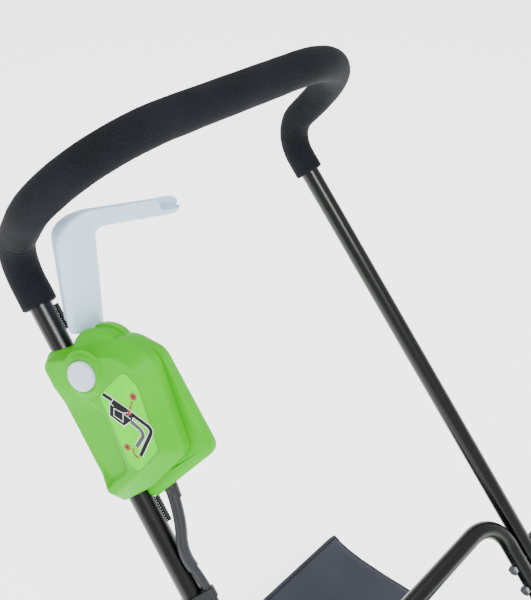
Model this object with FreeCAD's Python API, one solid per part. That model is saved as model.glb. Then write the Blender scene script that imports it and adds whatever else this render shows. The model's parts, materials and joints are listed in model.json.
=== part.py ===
"""Electric reel mower: cylinder cutter, folding handle, switch box and grass catcher.

Millimetres. +X is the operator's right, +Y is forward and +Z is up. The origin is on the
ground, under the middle of the machine.
"""
import FreeCAD, Part
import math
import os

V = FreeCAD.Vector
X_AXIS = V(1, 0, 0)

# ---- whole machine
LENGTH = 873.0
RUNNING_GAP = 0.05          # radial clearance of a shaft in its bearing
CLEAR = 0.3                 # gap between pieces that only lie beside each other

# ---- handle: two legs that lean back, a kink, and a grip loop that rises forward from it
TUBE_R = 12.7
TUBE_WALL = 1.2
LEAN = math.radians(46.3)           # leg against the ground
SPLAY = math.radians(2.165)         # each leg spreads outward on the way down
KINK = math.radians(84.9)           # turn between leg and grip loop
KINK_R = 46.4
KINK_Z = 860.0
KINK_HALF_WIDTH = 212.4
GRIP_REACH = 209.0                  # kink to the line of the grip bar
GRIP_CORNER_R = 127.4
FOAM_R = 20.0
FOAM_BELOW_KINK = 68.0
KINK_SETBACK = KINK_R * (1 / math.cos(KINK / 2) - 1)
KINK_Y = -LENGTH / 2 + FOAM_R - KINK_SETBACK

UPPER_LEG = 778.0                   # kink to the lower end of the upper handle
LOOP_TOP = 635.0                    # kink to the crossbar of the lower handle
LOOP_CORNER_R = 55.0
LEG_GAP = 2 * TUBE_R + 0.5          # upper leg to lower leg, centre to centre
FOLD_DOWN = 756.0                   # kink to the bolt that the upper handle folds about
CLAMP_DOWN = 720.0                  # kink to the bolt that the knob clamps
BOLT_R = 4.0

# ---- deck
PIVOT_Z = 180.0
PIVOT_DOWN = (KINK_Z - PIVOT_Z) / math.sin(LEAN)
PIVOT_Y = KINK_Y + PIVOT_DOWN * math.cos(LEAN)
PIVOT_X = KINK_HALF_WIDTH + PIVOT_DOWN * math.tan(SPLAY) - LEG_GAP
FLAT_HALF = 4.5                     # half the thickness of a flattened leg end
FLAT_WIDTH = 17.5                   # half its width
PLATE_IN = 228.0
PLATE = 5.0
PLATE_OUT = PLATE_IN + PLATE
PLATE_OUTLINE = [
    (110, 38, 8), (110, 112, 25), (176, 197, 12), (224, 201, 8), (246, 234, 14),
    (292, 234, 20), (336, 158, 60), (404, 104, 18), (404, 62, 18), (330, 30, 30), (196, 27, 8),
]

WHEEL_R = 105.0
WHEEL_IN = 262.0
WHEEL_WIDTH = 38.0
AXLE_Y = LENGTH / 2 - WHEEL_R
AXLE_Z = WHEEL_R
AXLE_R = 6.0

REEL_R = 65.0
REEL_Y = 270.0
REEL_Z = 100.0
REEL_HALF = 215.0
REEL_SHAFT_R = 8.0
BEARING_R = 15.0
BLADES = 5
BLADE_DEPTH = 23.0
BLADE_THICK = 3.0
BLADE_TWIST = 70.0                  # degrees from end to end
SPIDERS = 5
KNIFE_GAP = 0.5
KNIFE_ANGLE = math.radians(15)      # cutting edge behind the lowest point of the reel

MOTOR_Y = 268.0
MOTOR_Z = 213.0
MOTOR_R = 31.0
MOTOR_IN = 75.0
MOTOR_SHAFT_R = 4.0
PULLEY_IN = 241.0
PULLEY_OUT = 252.0
REEL_PULLEY_R = 37.5
MOTOR_PULLEY_R = 15.0
BELT_THICK = 2.5
COVER_OUT = 258.0
COVER_WALL = 2.5

REEL_COVER_R = 77.0
HOUSING_HALF = 204.0
HOUSING_PROFILE = [                 # y, z and corner radius; the rear shoulder carries the gland
    (207, 120, 6), (214, 218, 20), (252, 256, 20), (300, 258, 38), (346, 176, 60), (350, 120, 6),
]

ROLLER_Y = 135.0
ROLLER_R = 25.0
ROLLER_HALF = 214.0
ROLLER_SHAFT_R = 5.0
BRACKET_IN = 221.0
BRACKET = 4.0
BRACKET_HALF_WIDTH = 11.0
BRACKET_TOP = 98.0
BRACKET_BOLTS = (68.0, 88.0)
HEIGHT_TRAVEL = 25.0

TIE_R = 6.0
REAR_TIE = (188.0, 172.0)
FRONT_TIE = (386.0, 82.0)

# ---- grass catcher
MOUTH_Y = 136.0
MOUTH_HALF = 200.0
MOUTH_LOW = 54.0
MOUTH_HIGH = 196.0
BAG_REAR_Y = -226.0
BAG_REAR_HALF = 150.0
BAG_REAR_LOW = 30.0
BAG_REAR_HIGH = 170.0
BAG_WALL = 3.0
BAG_CORNER = 20.0
WIRE_R = 3.0
HOOK_X = 120.0
HOOK_WIDTH = 16.0

# ---- switch box: x across it, y up the leg, z out of its face; the leg runs through its origin
BOX_DOWN = 195.0                    # kink to the middle of the box
BOX_TURN = math.radians(62)         # the box's face is turned outward about the leg
BOX_FRONT = 30.0
BOX_REAR = -26.0
BOX_WALL = 2.6
FRONT_RIM = [                       # x, y and corner radius of the front shell's edge
    (-17, 79, 10), (88, 57, 45), (115, 26, 26), (95, -80, 14), (34, -101, 40), (-17, -106, 8),
]
FRONT_FACE = [
    (-9, 71, 8), (82, 43, 25), (99, 22, 20), (81, -67, 12), (36, -80, 30), (-11, -94, 8),
]
FRONT_SHOULDER = 13.0               # depth where the face's wide chamfer starts
REAR_RIM = [
    (-17, 77, 10), (92, 58, 40), (119, 28, 28), (117, -92, 14), (14, -121, 10), (-17, -112, 6),
]
REAR_FACE = [
    (-12, 70, 6), (84, 52, 40), (109, 26, 24), (107, -86, 14), (12, -113, 10), (-12, -106, 6),
]
REAR_SHOULDER = -13.0
LABEL_OUTLINE = [(43, 13, 5), (87, 25, 8), (94, 4, 20), (79, -63, 6), (42, -77, 7), (36, -65, 10)]
LABEL_DEPTH = 1.2
BUTTON = V(38, 39, 0)
BUTTON_R = 16.5
BUTTON_PROUD = 4.5                  # beyond the collar
STEM_END = 19.0                     # depth of the stem's inner end
SWITCH_BODY = V(20, 10, 5)          # micro switch, with its plunger under the stem
SWITCH_CORNER = BUTTON + V(-12, -7, 8.5)
BUTTON_TRAVEL = 4.0
COLLAR_R = 22.0
COLLAR_PROUD = 3.0
LEVER_PIVOT = V(47, 46, 0)
DRUM_R = 34.0
DRUM_FRONT = 21.0
DRUM_BACK = -20.0
SLOT_HALF = 8.0
LEVER_PIN_R = 3.0
PIN_SETBACK = 3.0                   # pin's ends behind the faces of the drum
LEVER_HUB_R = 9.0
LEVER_SECTION = (15.0, 19.0)        # half width and half depth of the arm
LEVER_WALL = 3.0
LEVER_BASE = V(37, 82, 0)           # the lever's arm leaves the slot in the drum here
LEVER_CORNER = V(116, 173, 26)
LEVER_TIP_X = 148.0                 # inward from the right leg at the kink
LEVER_TIP_DOWN = 42.0
LEVER_TIP_OUT = 113.0
LEVER_BEND_R = 22.0
BOX_SCREWS = [(56, -90), (96, -40), (100, 20), (22, 60)]
SCREW_R = 1.8
SCREW_HEAD_R = 3.6
INLET = (76.0, 102.0, -100.0, -62.0, -19.0, -3.0)     # x, y and z from and to

# ---- motor cable
CABLE_R = 5.0
CABLE_X = 34.0                      # where it leaves the switch box
CABLE_Z = -12.0
GLAND_Y = -105.0
CABLE_SIDE = LEG_GAP / 2            # inward from the upper leg, over the seam of the two legs
CABLE_OUT = 17.0                    # in front of the legs
CLIPS_DOWN = (435.0, 600.0)
CLIP_WIDTH = 12.0
CLIP_WALL = 1.8
FLEX_FROM = 640.0                   # the stretch that bends as the handle folds
FLEX_TO = 788.0
CABLE_BREAK = 0.7                   # keeps the bending stretch off the others
GLAND_X = 180.0                     # where it enters the motor housing
GLAND_DOWN = V(0, 1, -1).normalize()
GLAND_POINT = V(GLAND_X, 233, 237)
GLAND_LENGTH = 12.0


# ---------------------------------------------------------------- general helpers
def on_handle(x, down, out=0.0):
    """A point of the handle: down the legs from the kink, and out from their plane."""
    return V(
        x,
        KINK_Y + out * math.sin(LEAN) + down * math.cos(LEAN),
        KINK_Z + out * math.cos(LEAN) - down * math.sin(LEAN),
    )


def upper_x(down):
    return KINK_HALF_WIDTH + down * math.tan(SPLAY)


def lower_x(down):
    return upper_x(down) - LEG_GAP


def mirrored(shape):
    return shape.mirror(V(0, 0, 0), X_AXIS)


def both_sides(shape):
    return Part.makeCompound([shape, mirrored(shape)])


def rod(start, end, radius):
    axis = end - start
    return Part.makeCylinder(radius, axis.Length, start, axis)


def rod_x(x0, x1, y, z, radius):
    return rod(V(x0, y, z), V(x1, y, z), radius)


def ring_x(x0, x1, y, z, outer, inner):
    return rod_x(x0, x1, y, z, outer).cut(rod_x(x0 - 1, x1 + 1, y, z, inner))


def corner_arc(before, corner, after, radius):
    """Start, middle and end of the arc that rounds one corner."""
    back = (before - corner).normalize()
    ahead = (after - corner).normalize()
    half = back.getAngle(ahead) / 2
    reach = radius / math.tan(half)
    centre = corner + (back + ahead).normalize() * (radius / math.sin(half))
    middle = centre + (corner - centre).normalize() * radius
    return corner + back * reach, middle, corner + ahead * reach


def bent_path(points, radii):
    """An open wire of straight runs, with an arc of its own radius at each inner point."""
    edges = []
    here = points[0]
    for before, corner, after, radius in zip(points, points[1:], points[2:], radii):
        start, middle, end = corner_arc(before, corner, after, radius)
        edges.append(Part.LineSegment(here, start).toShape())
        edges.append(Part.Arc(start, middle, end).toShape())
        here = end
    edges.append(Part.LineSegment(here, points[-1]).toShape())
    return Part.Wire(edges)


def rounded_outline(corners, to_point):
    """A closed wire through (u, v, radius) corners, placed by to_point(u, v)."""
    points = [to_point(u, v) for u, v, _ in corners]
    arcs = [
        corner_arc(points[i - 1], points[i], points[(i + 1) % len(points)], corners[i][2])
        for i in range(len(points))
    ]
    edges = []
    for (start, middle, end), following in zip(arcs, arcs[1:] + arcs[:1]):
        edges.append(Part.Arc(start, middle, end).toShape())
        edges.append(Part.LineSegment(end, following[0]).toShape())
    return Part.Wire(edges)


def slab(corners, to_point, thickness):
    return Part.Face(rounded_outline(corners, to_point)).extrude(thickness)


def swept_disc(path, radius):
    """A round bar of this radius along the path."""
    edge = path.OrderedEdges[0]
    start = edge.valueAt(edge.FirstParameter)
    along = edge.tangentAt(edge.FirstParameter)
    if start.distanceToPoint(path.OrderedVertexes[0].Point) > 1e-6:
        start = edge.valueAt(edge.LastParameter)
        along = edge.tangentAt(edge.LastParameter)
    circle = Part.Wire(Part.Circle(start, along, radius).toShape())
    return path.makePipeShell([circle], True, True)


def swept_tube(path, outer, inner):
    return swept_disc(path, outer).cut(swept_disc(path, inner))


def band_face(a, r0, b, r1, normal):
    """The face inside a tight band round two circles, in the plane across normal."""
    along = (b - a).normalize()
    side = normal.cross(along).normalize()
    tilt = (r0 - r1) / (b - a).Length
    lift = math.sqrt(1 - tilt * tilt)
    left = along * tilt + side * lift
    right = along * tilt - side * lift
    edges = [
        Part.Arc(a + left * r0, a - along * r0, a + right * r0).toShape(),
        Part.LineSegment(a + right * r0, b + right * r1).toShape(),
        Part.Arc(b + right * r1, b + along * r1, b + left * r1).toShape(),
        Part.LineSegment(b + left * r1, a + left * r0).toShape(),
    ]
    return Part.Face(Part.Wire(edges))


def pulley_band(grow_reel, grow_motor, x):
    """The face of a band round the reel's and the motor's centres."""
    return band_face(V(x, REEL_Y, REEL_Z), grow_reel, V(x, MOTOR_Y, MOTOR_Z), grow_motor, X_AXIS)


def hexagon_head(centre, axis, across, height):
    """A bolt head or nut, standing on centre along axis."""
    turn = FreeCAD.Rotation(V(0, 0, 1), axis)
    radius = across / math.sqrt(3)
    ring = [V(radius * math.cos(k * math.pi / 3), radius * math.sin(k * math.pi / 3), 0) for k in range(6)]
    points = [centre + turn.multVec(p) for p in ring]
    face = Part.Face(Part.makePolygon(points + points[:1]))
    return face.extrude(axis.normalize() * height)


def in_side_view(x):
    """Places an outline drawn in Y and Z on the plane at this x."""
    return lambda y, z: V(x, y, z)


# ---------------------------------------------------------------- switch box frame
def box_placement():
    """x across the box, y up the right leg, z out of the face."""
    up = on_handle(upper_x(0), 0) - on_handle(upper_x(1), 1)
    up.normalize()
    front = V(0, math.sin(LEAN), math.cos(LEAN))
    inward = up.cross(front).normalize()
    across = inward * math.cos(BOX_TURN) + front * math.sin(BOX_TURN)
    out = across.cross(up)
    turn = FreeCAD.Rotation(across, up, out, "XYZ")
    return FreeCAD.Placement(on_handle(upper_x(BOX_DOWN), BOX_DOWN), turn)


def in_box(shape):
    placed = shape.copy()
    placed.Placement = box_placement().multiply(placed.Placement)
    return placed


def box_point(x, y, z):
    return box_placement().multVec(V(x, y, z))


def at_depth(z):
    return lambda x, y: V(x, y, z)


# ---------------------------------------------------------------- upper handle
def upper_path(start_down):
    """The upper handle's centre line, from start_down on one leg to the same on the other."""
    rise = GRIP_REACH * math.cos(KINK)
    out = GRIP_REACH * math.sin(KINK)
    right = [
        on_handle(upper_x(start_down), start_down),
        on_handle(KINK_HALF_WIDTH, 0),
        on_handle(KINK_HALF_WIDTH, -rise, out),
    ]
    left = [V(-p.x, p.y, p.z) for p in reversed(right)]
    return bent_path(right + left, [KINK_R, GRIP_CORNER_R, GRIP_CORNER_R, KINK_R])


def leg_hole(down, radius):
    """Drills both legs across at this distance from the kink."""
    point = on_handle(0, down)
    return rod_x(-300, 300, point.y, point.z, radius)


def handle_block(x0, x1, down, out):
    """A block squared up with the handle; down and out are (from, to) pairs."""
    corners = [(down[0], out[0]), (down[1], out[0]), (down[1], out[1]), (down[0], out[1])]
    points = [on_handle(x0, d, o) for d, o in corners]
    return Part.Face(Part.makePolygon(points + points[:1])).extrude(V(x1 - x0, 0, 0))


def clamp_notch():
    """Open slot in each upper leg, so that it swings forward off the clamp bolt."""
    half = BOLT_R + CLEAR
    swing = FOLD_DOWN - CLAMP_DOWN
    dip = swing - math.sqrt(swing ** 2 - TUBE_R ** 2)
    slot = handle_block(-300, 300, (CLAMP_DOWN - half, CLAMP_DOWN + half + dip), (-2 * TUBE_R, 0))
    return slot.fuse(leg_hole(CLAMP_DOWN, half))


def upper_handle_tube():
    tube = swept_tube(upper_path(UPPER_LEG), TUBE_R, TUBE_R - TUBE_WALL)
    return tube.cut(leg_hole(FOLD_DOWN, BOLT_R + RUNNING_GAP)).cut(clamp_notch())


def grip_foam():
    return swept_tube(upper_path(FOAM_BELOW_KINK), FOAM_R, TUBE_R + CLEAR)


def leg_end_plug(x_at, down):
    """Plastic plug in the open lower end of a leg, with a thin rim."""
    here, above, below = (on_handle(x_at(d), d) for d in (down, down - 15, down + 2))
    return rod(here, above, TUBE_R - TUBE_WALL).fuse(rod(here, below, TUBE_R))


def upper_handle_plugs():
    return both_sides(leg_end_plug(upper_x, UPPER_LEG))


# ---------------------------------------------------------------- lower handle
def lower_path(end_down):
    right = [on_handle(lower_x(end_down), end_down), on_handle(lower_x(LOOP_TOP), LOOP_TOP)]
    left = [V(-p.x, p.y, p.z) for p in reversed(right)]
    return bent_path(right + left, [LOOP_CORNER_R, LOOP_CORNER_R])


def leg_ellipse(down, half_depth, half_thick):
    centre = on_handle(lower_x(down), down)
    along = (on_handle(lower_x(down), down) - on_handle(lower_x(down + 1), down + 1)).normalize()
    depth = V(0, math.sin(LEAN), math.cos(LEAN))
    ellipse = Part.Ellipse(centre + depth * half_depth, centre + along.cross(depth) * half_thick, centre)
    return Part.Wire(ellipse.toShape())


def flattened_end():
    """The pressed end of a lower leg, round where it meets the tube and rounded at its tip."""
    round_at = PIVOT_DOWN - 90
    flat_at = PIVOT_DOWN - 62
    tip = PIVOT_DOWN + FLAT_WIDTH
    neck = Part.makeLoft([leg_ellipse(round_at, TUBE_R - 0.3, TUBE_R - 0.4),
                          leg_ellipse(flat_at, FLAT_WIDTH, FLAT_HALF)], True)
    blade = Part.makeLoft([leg_ellipse(flat_at, FLAT_WIDTH, FLAT_HALF),
                           leg_ellipse(tip, FLAT_WIDTH, FLAT_HALF)], True)
    blade_side = handle_block(150, 300, (round_at - 30, PIVOT_DOWN), (-40, 40))
    tip_disc = rod_x(150, 300, PIVOT_Y, PIVOT_Z, FLAT_WIDTH)
    return neck.fuse(blade.common(blade_side.fuse(tip_disc)))


def lower_handle_tube():
    tube = swept_tube(lower_path(PIVOT_DOWN - 90), TUBE_R, TUBE_R - TUBE_WALL)
    end = flattened_end()
    whole = tube.fuse([end, mirrored(end)])
    for down in (FOLD_DOWN, CLAMP_DOWN, PIVOT_DOWN):
        whole = whole.cut(leg_hole(down, BOLT_R + RUNNING_GAP))
    return whole.removeSplitter()


def joint_bolt(down):
    """Bolt through a lower and an upper leg, head on the inside."""
    point = on_handle(0, down)
    inner = lower_x(down) - TUBE_R - 2.5
    outer = upper_x(down) + TUBE_R
    shank = rod_x(inner, outer + 14, point.y, point.z, BOLT_R)
    head = hexagon_head(V(inner, point.y, point.z), V(-1, 0, 0), 13, 5)
    return shank.fuse(head)


def fold_bolts():
    """Each pair of legs folds about its own bolt, which a cap nut closes."""
    point = on_handle(0, FOLD_DOWN)
    outer = upper_x(FOLD_DOWN) + TUBE_R + 1.0
    nut = hexagon_head(V(outer, point.y, point.z), V(1, 0, 0), 13, 7)
    dome = rod_x(outer + 7, outer + 14, point.y, point.z, 5.2)
    return both_sides(joint_bolt(FOLD_DOWN).fuse([nut, dome]))


def clamp_bolts():
    return both_sides(joint_bolt(CLAMP_DOWN))


def knob(x, y, z, radius=17.0, depth=18.0):
    """A star knob on a bolt along X: six lobes, a skirt and a blind bore."""
    body = rod_x(x, x + depth, y, z, radius)
    for k in range(6):
        turn = k * math.pi / 3
        scallop_y = y + (radius + 5) * math.cos(turn)
        scallop_z = z + (radius + 5) * math.sin(turn)
        body = body.cut(rod_x(x + 4, x + depth + 1, scallop_y, scallop_z, 8.5))
    rim = [e for e in body.Edges if e.CenterOfMass.x > x + depth - 0.01]
    body = body.makeFillet(1.6, rim)
    return body.cut(rod_x(x - 1, x + depth - 3, y, z, BOLT_R + RUNNING_GAP))


def clamp_knob():
    point = on_handle(0, CLAMP_DOWN)
    return knob(upper_x(CLAMP_DOWN) + TUBE_R + 1.0, point.y, point.z)


def pivot_bolts():
    """Bolt through the side plate and the flattened leg end, with a washer and a lock nut."""
    inner = PIVOT_X - FLAT_HALF - 1.0
    shank = rod_x(inner, PLATE_OUT + 12, PIVOT_Y, PIVOT_Z, BOLT_R)
    head = hexagon_head(V(inner, PIVOT_Y, PIVOT_Z), V(-1, 0, 0), 13, 5)
    nut = hexagon_head(V(PLATE_OUT, PIVOT_Y, PIVOT_Z), V(1, 0, 0), 13, 8)
    washer = rod_x(PIVOT_X + FLAT_HALF + 2 * CLEAR, PLATE_IN, PIVOT_Y, PIVOT_Z, 9.0)
    return both_sides(shank.fuse([head, nut, washer]))


# ---------------------------------------------------------------- switch box
def box_half(rim, face, shoulder, depth):
    """A half shell: straight from its rim to the shoulder, then in to its smaller face."""
    outer = Part.makeLoft([
        rounded_outline(rim, at_depth(0)), rounded_outline(rim, at_depth(shoulder)),
        rounded_outline(face, at_depth(depth))], True, True)
    wall = math.copysign(BOX_WALL, depth)
    inner = Part.makeLoft([
        inset_outline(rim, -wall), inset_outline(rim, shoulder - wall / 2),
        inset_outline(face, depth - wall)], True, True)
    return outer, outer.cut(inner)


def inset_outline(corners, z):
    wire = rounded_outline(corners, at_depth(z))
    return Part.Face(wire).makeOffset2D(-BOX_WALL).OuterWire


def leg_clamp(outer):
    """The part of a shell that grips the leg, from end to end of the box."""
    return Part.makeCylinder(TUBE_R + BOX_WALL, 300, V(0, -150, 0), V(0, 1, 0)).common(outer)


def leg_channel(radius):
    """The space that the leg takes through the box."""
    return Part.makeCylinder(radius, 400, V(0, -200, 0), V(0, 1, 0))


def drum(z0, z1):
    """The round hump that carries the lever, with a slot for it."""
    hump = Part.makeCylinder(DRUM_R, z1 - z0, LEVER_PIVOT + V(0, 0, z0))
    return hump.makeFillet(2.5, [e for e in hump.Edges if abs(e.CenterOfMass.z - z1) < 0.01])


def lever_pin(grow=0.0):
    length = DRUM_FRONT - DRUM_BACK - 2 * PIN_SETBACK
    return Part.makeCylinder(LEVER_PIN_R + grow, length, LEVER_PIVOT + V(0, 0, DRUM_BACK + PIN_SETBACK))


def lever_slot():
    """Room for the lever's hub and neck inside the drum, open at the top."""
    room = Part.makeCylinder(LEVER_HUB_R + 3, 2 * SLOT_HALF, LEVER_PIVOT - V(0, 0, SLOT_HALF))
    chute = Part.makeBox(40, 60, 2 * SLOT_HALF, LEVER_PIVOT + V(-28, 0, -SLOT_HALF))
    return room.fuse(chute)


def switch_box_front():
    outer, shell = box_half(FRONT_RIM, FRONT_FACE, FRONT_SHOULDER, BOX_FRONT)
    hump = drum(0, DRUM_FRONT)
    collar = Part.makeCylinder(COLLAR_R, 12, BUTTON + V(0, 0, BOX_FRONT - 12 + COLLAR_PROUD))
    collar = collar.makeFillet(2.5, [e for e in collar.Edges if e.CenterOfMass.z > BOX_FRONT + 2])
    shell = shell.fuse([leg_clamp(outer), hump, collar] + screw_bosses(outer))
    recess = slab(LABEL_OUTLINE, at_depth(BOX_FRONT - LABEL_DEPTH), V(0, 0, 10))
    button_bore = Part.makeCylinder(BUTTON_R + 0.2, 60, BUTTON + V(0, 0, BOX_FRONT - 12))
    stem_bore = Part.makeCylinder(5.2, 60, BUTTON)
    switch_room = Part.makeBox(
        SWITCH_BODY.x + 2 * CLEAR, SWITCH_BODY.y + 2 * CLEAR, SWITCH_BODY.z + SWITCH_CORNER.z + CLEAR,
        V(SWITCH_CORNER.x - CLEAR, SWITCH_CORNER.y - CLEAR, 0))
    room = [
        recess, button_bore, stem_bore, switch_room, lever_slot(), lever_pin(RUNNING_GAP),
        leg_channel(TUBE_R), below_parting(0),
    ]
    return in_box(largest(shell.cut(room + screw_room())))


def below_parting(z):
    """Everything on the rear side of the parting plane."""
    return Part.makeBox(400, 400, 200, V(-200, -200, z - 200))


def above_parting(z):
    return Part.makeBox(400, 400, 200, V(-200, -200, z))


def largest(shape):
    return max(shape.Solids, key=lambda solid: solid.Volume)


def switch_box_rear():
    outer, shell = box_half(REAR_RIM, REAR_FACE, REAR_SHOULDER, BOX_REAR)
    hump = Part.makeCylinder(DRUM_R, -DRUM_BACK, LEVER_PIVOT + V(0, 0, DRUM_BACK))
    hump = hump.makeFillet(2.5, [e for e in hump.Edges if abs(e.CenterOfMass.z - DRUM_BACK) < 0.01])
    shell = shell.fuse([leg_clamp(outer), hump] + screw_bosses(outer))
    gland_hole = Part.makeCylinder(8.0, 40, V(CABLE_X, GLAND_Y, CABLE_Z), V(0, -1, 0))
    room = [
        lever_slot(), lever_pin(RUNNING_GAP), leg_channel(TUBE_R), gland_hole, inlet_block(),
        above_parting(0),
    ]
    return in_box(largest(shell.cut(room + screw_room())))


def inlet_block():
    x0, x1, y0, y1, z0, z1 = INLET
    return Part.makeBox(x1 - x0, y1 - y0, z1 - z0, V(x0, y0, z0))


def power_inlet():
    """Recessed two-pin socket for the supply lead, at the foot of the box."""
    x0, x1, y0, y1, z0, z1 = INLET
    body = inlet_block().common(Part.makeBox(200, 200, 200, V(-50, y0 + 12, -100)))
    cup = Part.makeBox(x1 - x0 - 4, 20, z1 - z0 - 4, V(x0 + 2, y0 + 5, z0 + 2))
    pins = [
        Part.makeCylinder(2.0, 16, V((x0 + x1) / 2 + side * 6, y0 + 14, (z0 + z1) / 2), V(0, 1, 0))
        for side in (-1, 1)
    ]
    return in_box(largest(body.cut(cup).fuse(pins)))


def switch_label():
    plate = slab(LABEL_OUTLINE, at_depth(BOX_FRONT - LABEL_DEPTH), V(0, 0, LABEL_DEPTH - 0.2))
    return in_box(plate)


def box_screw(x, y, grow=0.0):
    """A screw from the rear shell into the front one, head outside; grow leaves room for it."""
    head_depth = 2.2
    shank = Part.makeCylinder(SCREW_R + grow, 34, V(x, y, BOX_REAR + 1))
    return shank.fuse(Part.makeCylinder(SCREW_HEAD_R + grow, head_depth, V(x, y, BOX_REAR - 1.2)))


def cross_slot(x, y):
    """The cross recess in a screw's head."""
    bar = Part.makeBox(4.6, 1.0, 1.2, V(x - 2.3, y - 0.5, BOX_REAR - 1.2))
    return bar.fuse(bar.rotated(V(x, y, 0), V(0, 0, 1), 90))


def screw_bosses(outer):
    """Posts inside both shells that the screws run in."""
    return [Part.makeCylinder(4.8, 80, V(x, y, -40)).common(outer) for x, y in BOX_SCREWS]


def screw_room():
    return [box_screw(x, y, RUNNING_GAP) for x, y in BOX_SCREWS]


def switch_box_screws():
    return in_box(Part.makeCompound([box_screw(x, y).cut(cross_slot(x, y)) for x, y in BOX_SCREWS]))


def start_button():
    """Round cap on a stem that reaches the micro switch."""
    top = BOX_FRONT + COLLAR_PROUD + BUTTON_PROUD
    depth = 12.0
    cap = Part.makeCylinder(BUTTON_R, depth, BUTTON + V(0, 0, top - depth))
    cap = cap.makeFillet(2.2, [e for e in cap.Edges if e.CenterOfMass.z > top - 1])
    spring_room = Part.makeCylinder(8.5, depth - 3, BUTTON + V(0, 0, top - depth))
    stem = Part.makeCylinder(5.0, top - 2 - STEM_END, BUTTON + V(0, 0, STEM_END))
    return in_box(cap.cut(spring_room).fuse(stem))


def coil(radius, wire, pitch, turns, start):
    """A spring with its axis along the box's depth, from eight short arcs a turn."""
    step = 2 * math.pi / 8
    points = [
        start + V(radius * math.cos(k * step), radius * math.sin(k * step), pitch * k / 8)
        for k in range(8 * turns + 1)
    ]
    return swept_disc(bent_path(points, [0.9 * radius] * (len(points) - 2)), wire)


def button_spring():
    """Return spring of the button, drawn at its pressed length on the seat of the bore."""
    return in_box(coil(6.9, 0.5, 1.8, 2, BUTTON + V(0, 0, BOX_FRONT - 11.2)))


def micro_switch():
    """Snap-action switch on the inner wall, under the button's stem."""
    body = Part.makeBox(SWITCH_BODY.x, SWITCH_BODY.y, SWITCH_BODY.z, SWITCH_CORNER)
    plunger = Part.makeCylinder(1.6, 1.2, BUTTON + V(0, 0, SWITCH_CORNER.z + SWITCH_BODY.z))
    return in_box(body.fuse(plunger))


def lever_spring():
    """Torsion spring round the pin, behind the lever's hub."""
    return in_box(coil(5.2, 0.7, 1.7, 3, LEVER_PIVOT + V(0, 0, -SLOT_HALF + 1.2)))


def lever_route():
    """Base, corner and tip of the lever's centre line."""
    tip = on_handle(KINK_HALF_WIDTH - LEVER_TIP_X, LEVER_TIP_DOWN, LEVER_TIP_OUT)
    return [box_point(*LEVER_BASE), box_point(*LEVER_CORNER), tip]


def lever_bar(half_width, half_depth, setback, base_shift):
    """A bent bar of rounded section along the lever's route."""
    base, corner, tip = lever_route()
    up = (corner - base).normalize()
    along = (tip - corner).normalize()
    path = bent_path([base - up * base_shift, corner, tip + along * base_shift], [LEVER_BEND_R])
    side = up.cross(along).normalize()
    width = side.cross(up).normalize()
    start = base - up * base_shift
    corners = [
        (-half_width, -half_depth, 3.0), (-half_width, half_depth, 6.0),
        (half_width, half_depth, 0.95 * half_width), (half_width, -half_depth, 0.6 * half_width),
    ]
    profile = rounded_outline(corners, lambda u, v: start + width * u + side * (v + setback))
    return path.makePipeShell([profile], True, False)


def switch_lever():
    """Hub, neck, hollow arm and paddle, open on the side that faces the grip."""
    half_width, half_depth = LEVER_SECTION
    outer = lever_bar(half_width, half_depth, 0.0, 0.0)
    inner = lever_bar(half_width - LEVER_WALL, half_depth - LEVER_WALL, 0.0, -4.0)
    hub = in_box(Part.makeCylinder(LEVER_HUB_R, 2 * SLOT_HALF - 9, LEVER_PIVOT - V(0, 0, SLOT_HALF - 8)))
    neck = rod(box_point(LEVER_PIVOT.x, LEVER_PIVOT.y, 3.5), box_point(LEVER_BASE.x + 3, LEVER_BASE.y + 5, 2), 4.2)
    bore = in_box(Part.makeCylinder(LEVER_PIN_R + RUNNING_GAP, 60, LEVER_PIVOT - V(0, 0, 30)))
    drum_room = in_box(Part.makeCylinder(DRUM_R + 2 * CLEAR, 160, LEVER_PIVOT - V(0, 0, 80)))
    return outer.cut(inner).cut(drum_room).fuse([hub, neck]).cut(bore)


def cable_gland():
    """Tapered strain relief where the motor cable leaves the box."""
    down = V(0, -1, 0)
    collar = Part.makeCylinder(8.0, 10, V(CABLE_X, GLAND_Y, CABLE_Z), down)
    flange = Part.makeCylinder(10.0, 2, V(CABLE_X, GLAND_Y + 2, CABLE_Z), down)
    taper = Part.makeCone(8.0, 6.2, 14, V(CABLE_X, GLAND_Y - 10, CABLE_Z), down)
    bore = Part.makeCylinder(CABLE_R, 80, V(CABLE_X, GLAND_Y + 20, CABLE_Z), down)
    return in_box(collar.fuse([flange, taper]).cut(bore))


# ---------------------------------------------------------------- motor cable
def cable_beside(down):
    return on_handle(upper_x(down) - CABLE_SIDE, down, CABLE_OUT)


def straight_cable(points):
    """A round cable through the points, with the largest arcs that the runs allow."""
    radii = []
    for before, corner, after in zip(points, points[1:], points[2:]):
        shorter = min((before - corner).Length, (after - corner).Length)
        half_turn = (math.pi - (before - corner).getAngle(after - corner)) / 2
        radii.append(0.45 * shorter / math.tan(half_turn))
    print("cable radii", [round(r) for r in radii])
    return swept_disc(bent_path(points, radii), CABLE_R)


def motor_cable_upper():
    return straight_cable([
        box_point(CABLE_X, GLAND_Y - 8, CABLE_Z), box_point(CABLE_X - 3, GLAND_Y - 42, CABLE_Z + 4),
        box_point(CABLE_X - 16, GLAND_Y - 80, CABLE_Z + 16),
        cable_beside(420), cable_beside(500) + V(-0.4, 0.6, 0), cable_beside(575), cable_beside(FLEX_FROM),
    ])


def motor_cable_fold():
    """The stretch that bends as the handle folds, with a little slack to the front."""
    slack = V(0, 4, 4)
    return straight_cable([
        cable_beside(FLEX_FROM + CABLE_BREAK), cable_beside(FLEX_FROM + 50) + slack,
        cable_beside(FLEX_TO - 50) + slack, cable_beside(FLEX_TO - CABLE_BREAK),
    ])


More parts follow.
